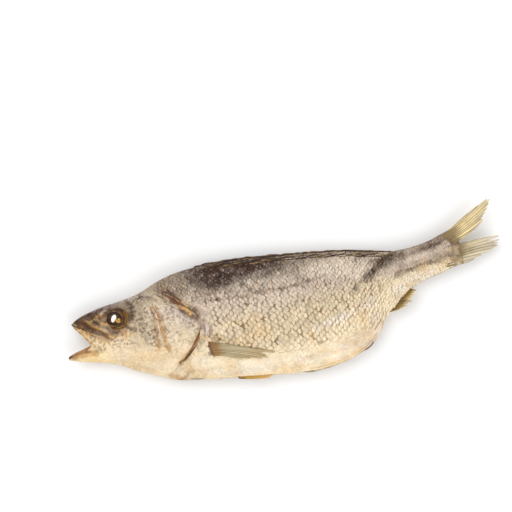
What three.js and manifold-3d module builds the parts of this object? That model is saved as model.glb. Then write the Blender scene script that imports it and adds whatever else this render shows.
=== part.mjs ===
// A dried salted zander, whole and gutted, lying on its right side. Millimetres.
//
// The fish is drawn in its own plane first: x runs from the jaws (low) to the tail (high), y from the
// belly (low) to the back (high), and z across the body from the right flank (low) to the left flank
// (high), with the body's middle plane at z 0. It is then moved so that the origin is at the middle of the
// underside of its box, with the right flank resting on z 0. Everything on a flank is made for the left
// one and mirrored for the right one, and what would reach below the surface that the fish dried on is
// flattened there.

import * as THREE from 'three';
import { mergeVertices } from 'three/addons/utils/BufferGeometryUtils.js';
import Module from 'manifold-3d';

const wasm = await Module();
wasm.setup();

// ------------------------------------------------------------------------------------ dimensions

const JAW_TIP_X = -195.5; // foremost point, the tip of the lower jaw
const BODY_END_X = 158; // rear edge of the scaled tail stem, where the tail fin's rays start
const REST_DEPTH = 13.5; // the right flank dried flat this far below the middle plane

// Outline of the body without its fins, as [x, y].
const BACK = [[-195.5, -5.5], [-191, 10], [-186, 21], [-180, 24.8], [-172, 27.3], [-160, 29.8], [-145, 31.2],
  [-130, 33.2], [-120, 35.6], [-110, 39.3], [-100, 42.3], [-90, 44.3], [-75, 45.4], [-55, 44.8], [-30, 42.6],
  [0, 38.8], [30, 34.6], [60, 29.2], [80, 24.2], [95, 20.9], [108, 20.1], [120, 20.6], [132, 22.2],
  [143, 24.8], [151, 24], [158, 17.5]];
const BELLY = [[-195.5, -8.8], [-191, -10.6], [-178, -14.6], [-165, -18.1], [-154, -22.4], [-140, -31],
  [-122, -39.9], [-108, -46.3], [-90, -50.7], [-54, -57.5], [-11, -63.9], [8, -66.4], [22, -66.7],
  [35, -64.9], [49, -61.7], [58, -58.6], [66, -53.4], [74, -45.6], [79, -38.6], [84, -32.4],
  [90, -28.6], [98, -22], [107, -15.6], [117, -11.6], [138, -7.3], [150, -4], [158, 8]];

// Half of the body's thickness at its thickest, as [x, half thickness].
const GIRTH = [[-195.5, 3.2], [-187, 5.4], [-170, 9], [-150, 12.4], [-130, 14.6], [-110, 15.8], [-90, 16],
  [-55, 15.4], [-15, 14.2], [25, 12.2], [60, 9.8], [90, 7.4], [115, 5.9], [140, 4.6], [158, 2.2]];
const THICKEST_AT = 0.4; // share of the way from back to belly where the body is thickest
const BACK_FULLNESS = 0.5; // exponent of the section at the back, where the flesh is full
const BELLY_FULLNESS = 0.86; // and at the belly, where the empty flaps lie flat

// The open mouth, a wedge right through between the jaws, and the hollow behind it.
const MOUTH_GAPE = [[-206, 30], [-186.4, 21.4], [-180.4, 13.8], [-177, 8.5], [-173.7, 3.1], [-173.4, -0.2],
  [-179.7, -2.8], [-188.3, -4.6], [-194.9, -6.7], [-206, -9]];
const MOUTH_HOLLOW = { x: -172, y: 2, length: 17, height: 7.5, half: 5.6 };

const EYE = { x: -144.6, y: 16.4, orbit: 11, ball: 8.6, socketDepth: 3.4 };
const GILL_EDGE = [[-77, 6], [-75.6, 1.5], [-76.6, -4], [-81.7, -12.7], [-90.6, -23.4], [-101, -32.8],
  [-113, -41]];
const GILL_SLIT = { width: 1.7, floor: 6, plateRise: 1.4, plateFade: 3.5 };
const CHEEK_RIDGE = { line: [[-113.5, 20], [-113.6, 6], [-110.5, -14], [-118, -30]], rise: 0.9, half: 3 };

const BELLY_CUT = { from: -96, to: 78, depth: 7, gap: 1.2 };
const RAY_THICKNESS = 1.3;
const WEB_THICKNESS = 0.7;
const WEB_REACH = 0.94; // the web between two rays stops this share of the way to their tips

// ------------------------------------------------------------------------------------ curves

// A smooth y(x) through points in rising x, with slopes taken from each point's neighbours.
function smoothProfile(points) {
  const slope = points.map((p, i) => {
    const before = points[Math.max(i - 1, 0)];
    const after = points[Math.min(i + 1, points.length - 1)];
    return (after[1] - before[1]) / (after[0] - before[0]);
  });
  return (x) => {
    let i = points.findIndex((p) => p[0] > x) - 1;
    if (i === -2) i = points.length - 2;
    if (i < 0) i = 0;
    const [x0, y0] = points[i];
    const [x1, y1] = points[i + 1];
    const span = x1 - x0;
    const t = THREE.MathUtils.clamp((x - x0) / span, 0, 1);
    const rise = t * t * (3 - 2 * t);
    return y0 + (y1 - y0) * rise + span * (slope[i] * t * (1 - t) ** 2 - slope[i + 1] * t * t * (1 - t));
  };
}

const backEdge = smoothProfile(BACK);
const bellyEdge = smoothProfile(BELLY);
const girth = smoothProfile(GIRTH);

function curveThrough(points, count) {
  return new THREE.SplineCurve(points.map(([x, y]) => new THREE.Vector2(x, y))).getSpacedPoints(count);
}

// Distance from (x, y) to a line of points, and how far it is along that line.
function nearestOn(line, x, y) {
  let best = { distance: Infinity, share: 0, side: 0 };
  for (let i = 0; i + 1 < line.length; i++) {
    const dx = line[i + 1].x - line[i].x;
    const dy = line[i + 1].y - line[i].y;
    const along = (x - line[i].x) * dx + (y - line[i].y) * dy;
    const t = THREE.MathUtils.clamp(along / (dx * dx + dy * dy), 0, 1);
    const px = x - line[i].x - t * dx;
    const py = y - line[i].y - t * dy;
    const distance = Math.hypot(px, py);
    if (distance < best.distance) {
      best = { distance, share: (i + t) / (line.length - 1), side: Math.sign(dx * py - dy * px) };
    }
  }
  return best;
}

const gillLine = curveThrough(GILL_EDGE, 14);
const cheekLine = curveThrough(CHEEK_RIDGE.line, 10);

// ------------------------------------------------------------------------------------ body

// What the head's plates add to a flank: the gill cover stands proud of the shoulder, and the cheek has a
// ridge.
function plateRelief(x, y) {
  const gill = nearestOn(gillLine, x, y);
  const inward = -gill.side * gill.distance;
  const onPlate = THREE.MathUtils.smoothstep(inward, -GILL_SLIT.plateFade, GILL_SLIT.plateFade);
  const behindEye = THREE.MathUtils.smoothstep(x, -150, -112);
  const cheek = nearestOn(cheekLine, x, y).distance / CHEEK_RIDGE.half;
  return onPlate * behindEye * GILL_SLIT.plateRise + CHEEK_RIDGE.rise * Math.exp(-cheek * cheek);
}

// The flank's height above the middle plane at x, a share of the way down from back to belly.
function flankHeight(x, share) {
  const bulge = Math.sin(Math.PI * share ** (Math.log(0.5) / Math.log(THICKEST_AT)));
  const towardsBelly = THREE.MathUtils.smoothstep(share, 0.3, 0.9);
  const fullness = THREE.MathUtils.lerp(BACK_FULLNESS, BELLY_FULLNESS, towardsBelly);
  const height = girth(x) * Math.max(bulge, 0) ** fullness;
  const y = THREE.MathUtils.lerp(backEdge(x), bellyEdge(x), share);
  const edgeFade = THREE.MathUtils.smoothstep(height, 1, 5);
  return height + edgeFade * plateRelief(x, y);
}

// Points round the section at x: down the left flank from the back to the belly, and up the right flank.
function bodySection(x, perFlank) {
  const points = [];
  for (const side of [1, -1]) {
    for (let i = 0; i < perFlank; i++) {
      const turn = (side === 1 ? i : perFlank - i) / perFlank;
      const share = (1 - Math.cos(Math.PI * turn)) / 2; // closer together at the back and the belly
      const y = THREE.MathUtils.lerp(backEdge(x), bellyEdge(x), share);
      points.push(new THREE.Vector3(x, y, side * flankHeight(x, share)));
    }
  }
  return points;
}

// A closed mesh from rings with the same number of points, the ends closed by fans.
function ringsToGeometry(rings) {
  const count = rings[0].length;
  const points = rings.flat();
  const faces = [];
  for (let i = 0; i + 1 < rings.length; i++) {
    for (let j = 0; j < count; j++) {
      const a = i * count + j;
      const b = i * count + (j + 1) % count;
      faces.push(a, b, a + count, b, b + count, a + count);
    }
  }
  const last = (rings.length - 1) * count;
  for (let j = 1; j + 1 < count; j++) {
    faces.push(0, j + 1, j, last, last + j, last + j + 1);
  }
  return new THREE.BufferGeometry().setFromPoints(points).setIndex(faces);
}

function bodyGeometry() {
  const HEAD_STEP = 4.8;
  const TRUNK_STEP = 9;
  const HEAD_END_X = -70;
  const PER_FLANK = 17;
  const rings = [];
  for (let x = JAW_TIP_X; x < BODY_END_X; x += x < HEAD_END_X ? HEAD_STEP : TRUNK_STEP) {
    rings.push(bodySection(x, PER_FLANK));
  }
  rings.push(bodySection(BODY_END_X, PER_FLANK));
  return ringsToGeometry(rings);
}

// ------------------------------------------------------------------------------------ fins

// A fin as a thin blade with raised rays. Each ray runs from its root to its tip, both {x, y, z}, and the
// web between two rays is thinner than they are. It may be lifted by lift(point), such as to lie on a
// flank.
function finGeometry(rays, options = {}) {
  const { steps = 5, lift = () => 0, thickness = RAY_THICKNESS, web = WEB_THICKNESS } = options;
  const lines = [];
  rays.forEach((ray, i) => {
    lines.push({ ...ray, half: thickness / 2 });
    if (i + 1 < rays.length) {
      const next = rays[i + 1];
      const between = (end) => ray[end].map((value, k) => (value + next[end][k]) / 2);
      const root = between('root');
      const tip = between('tip').map((value, k) => THREE.MathUtils.lerp(root[k], value, WEB_REACH));
      lines.push({ root, tip, half: web / 2 });
    }
  });
  const pointOn = (line, t, side) => {
    const point = new THREE.Vector3(...line.root).lerp(new THREE.Vector3(...line.tip), t);
    point.z += lift(point) + side * line.half * THREE.MathUtils.lerp(1, 0.55, t);
    return point;
  };
  const face = (side) => lines.map((line) => {
    return Array.from({ length: steps + 1 }, (_, s) => pointOn(line, s / steps, side));
  });
  return gridsToGeometry(face(1), face(-1));
}

// A closed mesh from an upper and a lower grid of points with the same rows and columns.
function gridsToGeometry(upper, lower) {
  const rows = upper.length;
  const columns = upper[0].length;
  const points = [...upper.flat(), ...lower.flat()];
  const under = rows * columns;
  const at = (i, j) => i * columns + j;
  const faces = [];
  for (let i = 0; i + 1 < rows; i++) {
    for (let j = 0; j + 1 < columns; j++) {
      const [a, b, c, d] = [at(i, j), at(i + 1, j), at(i + 1, j + 1), at(i, j + 1)];
      faces.push(a, b, c, a, c, d, under + a, under + c, under + b, under + a, under + d, under + c);
    }
  }
  const rim = [];
  for (let i = 0; i + 1 < rows; i++) rim.push([at(i, 0), at(i + 1, 0)]);
  for (let j = 0; j + 1 < columns; j++) rim.push([at(rows - 1, j), at(rows - 1, j + 1)]);
  for (let i = rows - 1; i > 0; i--) rim.push([at(i, columns - 1), at(i - 1, columns - 1)]);
  for (let j = columns - 1; j > 0; j--) rim.push([at(0, j), at(0, j - 1)]);
  for (const [a, b] of rim) faces.push(a, under + a, b, b, under + a, under + b);
  return new THREE.BufferGeometry().setFromPoints(points).setIndex(faces);
}

// Rays spread evenly from one root line to one tip line.
function raysBetween(roots, tips, count) {
  const rootCurve = new THREE.CatmullRomCurve3(roots.map((p) => new THREE.Vector3(...p)));
  const tipCurve = new THREE.CatmullRomCurve3(tips.map((p) => new THREE.Vector3(...p)));
  return Array.from({ length: count }, (_, i) => ({
    root: rootCurve.getPoint(i / (count - 1)).toArray(),
    tip: tipCurve.getPoint(i / (count - 1)).toArray(),
  }));
}

// The tail fin's two lobes, split and spread, the upper one leaning up and the lower one down across the
// body.
function tailLobes() {
  const upper = raysBetween([[143, 23.2, 0], [150, 19.5, 0], [156, 14.8, 0]],
    [[191.8, 46.4, 6], [188.4, 39.8, 5], [184.6, 34.3, 4], [178.5, 28, 2.5], [167, 20, 1]], 9);
  const lower = raysBetween([[156, 13.2, 0], [154, 4, 0], [148.5, -3.6, 0]],
    [[173, 12.8, -1], [191.5, 13.2, -3.5], [195.5, 8, -5], [189.5, 4, -4], [177, -0.4, -2.5],
      [160, -4.2, -0.5]], 9);
  return [upper, lower].map((rays) => finGeometry(rays, { thickness: 1.8 }));
}

// Fins folded down along the back: a low ridge whose height rises and falls along the body.
function backFins() {
  const ridge = (from, to, height) => {
    const STEPS = 14;
    const roots = [];
    for (let i = 0; i <= STEPS; i++) {
      const x = THREE.MathUtils.lerp(from, to, i / STEPS);
      const rise = height * Math.sin(Math.PI * Math.min(1, 0.12 + i / STEPS)) ** 0.5;
      const ripple = i % 2 ? -0.35 : 0;
      roots.push({ root: [x, backEdge(x) - 2.5, 0], tip: [x + 1.5, backEdge(x) + rise + ripple, 0] });
    }
    return finGeometry(roots, { steps: 2, thickness: 3, web: 2.4 });
  };
  return [ridge(-70, 16, 2.2), ridge(22, 99, 2.4)];
}

function analFin() {
  const rays = raysBetween([[86, -28.6, 0], [96, -21.6, 0], [105, -15, 0]],
    [[96, -29.6, 1], [103.4, -27.4, 1.5], [109, -24, 2], [113.4, -19.6, 2]], 8);
  return finGeometry(rays, { steps: 4 });
}

// Height of the left flank's skin over a point of the middle plane.
function skinHeight(x, y) {
  const share = THREE.MathUtils.clamp((backEdge(x) - y) / (backEdge(x) - bellyEdge(x)), 0.001, 0.999);
  return flankHeight(x, share);
}

function breastFin() {
  const rays = raysBetween([[-74.5, -18.6, 0], [-74.6, -26, 0], [-73.4, -32.8, 0]],
    [[-40, -31.2, 0.8], [-27.5, -38, 0.6], [-22, -42.4, 0.5], [-33.5, -41.8, 0.6], [-48, -41, 0.9]], 10);
  return finGeometry(rays, { steps: 6, lift: (p) => skinHeight(p.x, p.y) + 0.2 });
}

// The two pelvic fins are folded back along the belly's edge, the left one at the edge and the right one
// under it.
function pelvicFins() {
  const fin = (side, y) => {
    const roots = [[-58, -52.5, side * 1.6], [-56, -56.5, side * 1.4]];
    const tips = [[-22, -60.2 + y, side * 2.4], [-30, -63.4 + y, side * 2.8]];
    return finGeometry(raysBetween(roots, tips, 6), { steps: 4 });
  };
  return [fin(1, 0), fin(-1, 1.6)];
}

// ------------------------------------------------------------------------------------ joining

// A fin drawn from front to rear faces the other way round than one drawn from rear to front; both are
// made to face outwards.
function facingOut(geometry) {
  const { position } = geometry.attributes;
  const faces = geometry.index.array;
  const [a, b, c] = [new THREE.Vector3(), new THREE.Vector3(), new THREE.Vector3()];
  let volume = 0;
  for (let i = 0; i < faces.length; i += 3) {
    [a, b, c].forEach((corner, k) => corner.fromBufferAttribute(position, faces[i + k]));
    volume += a.dot(b.cross(c)) / 6;
  }
  if (volume < 0) geometry.setIndex(Array.from(faces).reverse());
  return geometry;
}

function solidOf(geometry) {
  const bare = geometry.clone();
  for (const name of ['normal', 'uv']) bare.deleteAttribute(name);
  const merged = facingOut(mergeVertices(bare, 1e-4));
  return new wasm.Manifold(new wasm.Mesh({
    numProp: 3,
    vertProperties: new Float32Array(merged.attributes.position.array),
    triVerts: new Uint32Array(merged.index.array),
  }));
}

function geometryOf(solid) {
  const mesh = solid.getMesh();
  const geometry = new THREE.BufferGeometry();
  geometry.setAttribute('position', new THREE.BufferAttribute(new Float32Array(mesh.vertProperties), 3));
  geometry.setIndex(new THREE.BufferAttribute(new Uint32Array(mesh.triVerts), 1));
  geometry.computeVertexNormals();
  return geometry;
}

// A slab of an outline in the body's plane, from one height to another.
function slab(outline, low, high) {
  const shape = new THREE.Shape(outline.map((p) => new THREE.Vector2(p.x ?? p[0], p.y ?? p[1])));
  const geometry = new THREE.ExtrudeGeometry(shape, { depth: high - low, bevelEnabled: false });
  return solidOf(geometry.translate(0, 0, low));
}

function ellipsoid(x, y, z, halfX, halfY, halfZ) {
  const geometry = new THREE.SphereGeometry(1, 14, 9).scale(halfX, halfY, halfZ);
  return solidOf(geometry.translate(x, y, z));
}

function mirrored(solid) {
  return solid.mirror([0, 0, 1]);
}

// A band of a given width that follows a line, as an outline.
function bandOutline(line, width) {
  const offset = (amount) => line.map((p, i) => {
    const before = line[Math.max(i - 1, 0)];
    const after = line[Math.min(i + 1, line.length - 1)];
    const along = new THREE.Vector2(after.x - before.x, after.y - before.y).normalize();
    return new THREE.Vector2(p.x - along.y * amount, p.y + along.x * amount);
  });
  return [...offset(width / 2), ...offset(-width / 2).reverse()];
}

function eyeParts() {
  const skin = skinHeight(EYE.x, EYE.y);
  const socket = ellipsoid(EYE.x, EYE.y, skin + 0.8, EYE.orbit, EYE.orbit * 0.94, EYE.socketDepth);
  const ball = ellipsoid(EYE.x, EYE.y, skin - 3.6, EYE.ball, EYE.ball * 0.96, 4.4);
  return { socket, ball };
}

// The cut that the fish was gutted through, along the belly's edge between the two flaps.
function bellyCut() {
  const STEPS = 30;
  const OUTSIDE = 6;
  const inner = [];
  const outer = [];
  for (let i = 0; i <= STEPS; i++) {
    const x = THREE.MathUtils.lerp(BELLY_CUT.from, BELLY_CUT.to, i / STEPS);
    const depth = BELLY_CUT.depth * Math.sin(Math.PI * i / STEPS) ** 0.4;
    inner.push([x, bellyEdge(x) + depth + 0.2]);
    outer.unshift([x, bellyEdge(x) - OUTSIDE]);
  }
  return slab([...inner, ...outer], -BELLY_CUT.gap / 2, BELLY_CUT.gap / 2);
}

const FAR = 300; // further than the fish reaches

function zander() {
  const { socket, ball } = eyeParts();
  const gillSlit = slab(bandOutline(gillLine, GILL_SLIT.width), GILL_SLIT.floor, FAR);
  const { x, y, length, height, half } = MOUTH_HOLLOW;
  const mouth = slab(MOUTH_GAPE, -FAR, FAR).add(ellipsoid(x, y, 0, length, height, half));
  const leftFin = solidOf(breastFin());
  const middleFins = [...tailLobes(), ...backFins(), analFin(), ...pelvicFins()].map(solidOf);

  let fish = solidOf(bodyGeometry());
  for (const cut of [mouth, bellyCut(), socket, mirrored(socket), gillSlit, mirrored(gillSlit)]) {
    fish = fish.subtract(cut);
  }
  for (const piece of [ball, mirrored(ball), leftFin, mirrored(leftFin), ...middleFins]) {
    fish = fish.add(piece);
  }

  const aboveRest = slab([[-FAR, -FAR], [FAR, -FAR], [FAR, FAR], [-FAR, FAR]], -REST_DEPTH, FAR);
  return fish.intersect(aboveRest);
}

// ------------------------------------------------------------------------------------ the part

const geometry = geometryOf(zander());
geometry.computeBoundingBox();
const { min, max } = geometry.boundingBox;
geometry.translate(-(min.x + max.x) / 2, -(min.y + max.y) / 2, -min.z);

const driedSkin = new THREE.MeshStandardMaterial({ color: 0xb9a98a, roughness: 0.55, metalness: 0 });
const fish = new THREE.Mesh(geometry, driedSkin);
fish.name = 'zander';

const part = new THREE.Group();
part.name = 'dried_zander';
part.add(fish);

export default part;
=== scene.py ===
"""A dried salted zander, whole and gutted, lying on its right flank.

Everything is measured in millimetres in the fish's own frame: x runs from the jaws to the tail, y from the
belly to the back, and z from the right flank to the left flank, with the body's middle plane at z 0. A
finished piece is moved into the row's frame, in metres, as it is placed.
"""

import logging
import math
from collections.abc import Sequence
from dataclasses import dataclass, field
from enum import Enum, IntEnum

import bpy
import numpy as np
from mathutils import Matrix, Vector
from numpy.typing import NDArray


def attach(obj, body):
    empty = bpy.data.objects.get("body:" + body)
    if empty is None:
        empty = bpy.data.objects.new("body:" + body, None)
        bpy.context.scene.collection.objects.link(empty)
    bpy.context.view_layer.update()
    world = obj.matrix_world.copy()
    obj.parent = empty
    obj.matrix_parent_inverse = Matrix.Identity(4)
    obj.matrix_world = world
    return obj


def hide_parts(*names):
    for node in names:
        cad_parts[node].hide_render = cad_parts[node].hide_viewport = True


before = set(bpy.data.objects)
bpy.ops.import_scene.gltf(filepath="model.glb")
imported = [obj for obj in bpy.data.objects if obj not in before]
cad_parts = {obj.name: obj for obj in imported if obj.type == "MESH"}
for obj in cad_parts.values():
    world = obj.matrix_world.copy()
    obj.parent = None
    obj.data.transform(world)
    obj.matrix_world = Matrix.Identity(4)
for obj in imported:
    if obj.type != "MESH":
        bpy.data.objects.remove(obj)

Array = NDArray[np.float64]
Line = tuple[tuple[float, ...], ...]
Faces = list[tuple[int, ...]]
log = logging.getLogger("zander")

MM = 0.001
REST_DEPTH = 13.5  # the right flank lies flat this far below the middle plane
ROW_SHIFT = np.array((0.0, 9.34, REST_DEPTH))  # from the fish's frame to the row's, in mm
SEED = 20


class Side(IntEnum):
    """The flanks: the left one is up, and the fish lies on the right one."""

    LEFT = 1
    RIGHT = -1

    @property
    def label(self) -> str:
        """What it is called in a piece's name."""
        return self.name.lower()


class Tone(Enum):
    """Colours of the dried fish, as sRGB hex."""

    BACK = "402818"
    BACK_BROWN = "6b543f"
    BACK_OLIVE = "75664e"
    LILAC = "bfaea3"
    SILVER = "e0d2c0"
    STRAW = "d7c6a6"
    CREAM = "f2e0be"
    THROAT = "f5d9a3"
    CHEEK = "8f7c66"
    HEAD = "5a4330"
    OPERCLE = "e6d3b6"
    PALE = "efe6da"
    GOLD = "b98a52"
    FOLD = "74482a"
    MOIST = "744629"
    PINK = "b79a90"
    MOUTH = "b8854c"
    SLIT = "4a2c22"
    PURPLE = "6b4a48"
    TIP = "2e2a26"
    TAN = "dcb273"
    FIN_PALE = "e2d3ab"
    FIN_GOLD = "f4dca6"
    FIN_LINE = "47351c"
    FIN_ROOT = "7d6848"
    FIN_OLIVE = "cabb96"
    FIN_TAN = "bfa374"
    FIN_BROWN = "94652e"
    OLIVE_LINE = "5f5234"
    SPINE = "8f7650"
    EYE_DARK = "1a0f07"
    EYE_BROWN = "3f2812"
    EYE_GOLD = "c9a04e"
    # The lens's near-white is a painted highlight.
    LENS = "fdfbf4"


def linear(tone: Tone) -> Array:
    """Turns an sRGB hex colour into linear red, green and blue, from 0 to 1."""
    srgb = np.array([int(tone.value[i : i + 2], 16) / 255 for i in (0, 2, 4)])
    return np.where(srgb <= 0.04045, srgb / 12.92, ((srgb + 0.055) / 1.055) ** 2.4)


def smooth(value: Array, low: float | Array, high: float | Array) -> Array:
    """Rises smoothly from 0 where the value is low to 1 where it is high."""
    t = np.clip((value - low) / (high - low), 0, 1)
    return t * t * (3 - 2 * t)


def bell(value: Array, middle: float, reach: float) -> Array:
    """A soft bump: 1 in the middle, and about a third at its reach."""
    return np.exp(-(((value - middle) / reach) ** 2))


def mix(base: Tone | Array, tone: Tone | Array, share: Array | float) -> Array:
    """Blends one colour into others.

    Args:
        base: A colour, or an array of them.
        tone: What is blended in.
        share: How much of it, from 0 to 1, in all or at each place.

    Returns:
        The blended linear colours.
    """
    under, over = (linear(each) if isinstance(each, Tone) else each for each in (base, tone))
    weight = np.clip(np.asarray(share, float), 0, 1)[..., None]
    return under * (1 - weight) + over * weight


def layered(base: Tone | Array, *coats: tuple[Tone | Array, Array | float]) -> Array:
    """Blends colours in, one over the other.

    Args:
        base: A colour, or an array of them.
        *coats: Each colour that is blended in, with its share.

    Returns:
        The blended linear colours.
    """
    for tone, share in coats:
        base = mix(base, tone, share)
    return base


def grain(points: Array, size: float, seed: int) -> Array:
    """Smooth random values that change over a given size.

    Args:
        points: Places, with three coordinates each.
        size: How far apart the values are unrelated, in the points' own unit.
        seed: Which of the patterns.

    Returns:
        Values from -1 to 1, one a point.
    """
    scaled = points / size + seed * 17.31
    cell = np.floor(scaled).astype(np.int64)
    part = scaled - cell
    part = part * part * (3 - 2 * part)
    total = np.zeros(points.shape[:-1])
    for corner in np.ndindex(2, 2, 2):
        key = cell + np.array(corner)
        mixed = key[..., 0] * 73856093 ^ key[..., 1] * 19349663 ^ key[..., 2] * 83492791
        mixed = (mixed ^ (mixed >> 13)) * 1274126177 & 0xFFFFFFFF
        value = ((mixed ^ (mixed >> 16)) & 0xFFFF) / 0xFFFF
        total += np.prod(np.where(corner, part, 1 - part), axis=-1) * value
    return total * 2 - 1


def stacked(x: Array, y: Array, z: Array | float = 0.0) -> Array:
    """Joins coordinates into points, with as many rows as they have together."""
    return np.stack(np.broadcast_arrays(x, y, z), axis=-1).astype(float)


def grid(down: Array, across: Array) -> tuple[Array, Array]:
    """Spreads two rows of values over a grid, one down it and one across."""
    return tuple(np.meshgrid(down, across, indexing="ij"))


def unit(vectors: Array) -> Array:
    """Brings vectors to a length of 1."""
    return vectors / np.linalg.norm(vectors, axis=-1, keepdims=True)


@dataclass(frozen=True)
class Profile:
    """A smooth line y(x) through points in rising x.

    Attributes:
        points: The points, as (x, y).
    """

    points: Line

    def __call__(self, x: Array | float) -> Array:
        """Reads the line.

        Args:
            x: Where.

        Returns:
            The line's y there; past its ends, that of the end.
        """
        px, py = np.array(self.points, float).T
        ends = np.arange(len(px))
        before, after = np.maximum(ends - 1, 0), np.minimum(ends + 1, len(px) - 1)
        slope = (py[after] - py[before]) / (px[after] - px[before])
        i = np.clip(np.searchsorted(px, x, side="right") - 1, 0, len(px) - 2)
        span = px[i + 1] - px[i]
        t = np.clip((x - px[i]) / span, 0, 1)
        bend = slope[i] * t * (1 - t) ** 2 - slope[i + 1] * t * t * (1 - t)
        return py[i] + (py[i + 1] - py[i]) * t * t * (3 - 2 * t) + span * bend


@dataclass(frozen=True)
class Curve:
    """A smooth line through points in the plane of the body or in space.

    Attributes:
        points: The points, as (x, y) or (x, y, z).
    """

    points: Line

    def at(self, share: Array) -> Array:
        """Reads the line.

        Args:
            share: How far along, from 0 to 1, counted in points.

        Returns:
            The places there.
        """
        p = np.array(self.points, float)
        place = np.clip(share, 0, 1) * (len(p) - 1)
        i = np.minimum(place.astype(int), len(p) - 2)
        t = (place - i)[..., None]
        a, b, c, d = (p[np.clip(i + k, 0, len(p) - 1)] for k in (-1, 0, 1, 2))
        bend = (2 * a - 5 * b + 4 * c - d) * t**2
        return 0.5 * (2 * b + (c - a) * t + bend + (3 * b - a - 3 * c + d) * t**3)

    def near(self, x: Array, y: Array) -> tuple[Array, Array, Array]:
        """Measures places against the line.

        Args:
            x: The places' x.
            y: Their y.

        Returns:
            How far off the line each is, how far along it that is, and the side it is on, 1 or -1.
        """
        line = self.at(np.linspace(0, 1, 8 * len(self.points)))[:, :2]
        start, step = line[:-1], np.diff(line, axis=0)
        dx, dy = x[..., None] - start[:, 0], y[..., None] - start[:, 1]
        t = np.clip((dx * step[:, 0] + dy * step[:, 1]) / (step**2).sum(1), 0, 1)
        gap = np.hypot(dx - t * step[:, 0], dy - t * step[:, 1])
        best = gap.argmin(-1)
        gap, t, dx, dy = (np.take_along_axis(each, best[..., None], -1)[..., 0] for each in (gap, t, dx, dy))
        ahead = step[best]
        return gap, (best + t) / len(step), np.sign(ahead[..., 0] * dy - ahead[..., 1] * dx)

    def within(self, x: Array, y: Array, reach: float) -> tuple[Array, Array]:
        """Measures only the places that are near the line.

        Args:
            x: The places' x.
            y: Their y.
            reach: How far off it still matters.

        Returns:
            How far off the line each is, at most about the reach, and its side, 0 past the reach.
        """
        ends = np.array(self.points, float)[:, :2]
        low, high = ends.min(0) - reach, ends.max(0) + reach
        close = (x > low[0]) & (x < high[0]) & (y > low[1]) & (y < high[1])
        gap, side = np.full(x.shape, 2.0 * reach), np.zeros(x.shape)
        if close.any() and len(self.points) == 1:
            gap[close] = np.hypot(x[close] - ends[0, 0], y[close] - ends[0, 1])
        elif close.any():
            gap[close], _, side[close] = self.near(x[close], y[close])
        return gap, side


GILL_EDGE = Curve(((-93, 18.5), (-84, 12.5), (-77, 5), (-75.6, 0.5), (-76.8, -5), (-81.7, -12.7),
                   (-90.6, -23.4), (-101, -32.8), (-113, -41)))
GAPE_UPPER = Curve(((-186.4, 21), (-180.4, 13.8), (-177, 8.5), (-173.9, 3.1), (-172.6, 0)))
GAPE_LOWER = Curve(((-195, -6.7), (-188.3, -4.6), (-179.7, -2.8), (-172.6, -0.4)))
CHEEK_FRONT = ((-113.9, 20.9), (-112.9, 10), (-113.9, -2.3), (-116.2, -16))
CHEEK_REAR = ((-111.8, 18.7), (-109.9, 7.5), (-109.2, -5.1), (-107.3, -19.9))
CHEEK_GROOVE = ((-112.8, 18), (-112, 6.2), (-112.9, -9.6))
BROW_GROOVE = ((-128.9, 29.7), (-120.6, 30.5), (-113.2, 27.9), (-108.7, 24.2))
EYE = (-144.8, 16.2)


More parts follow.
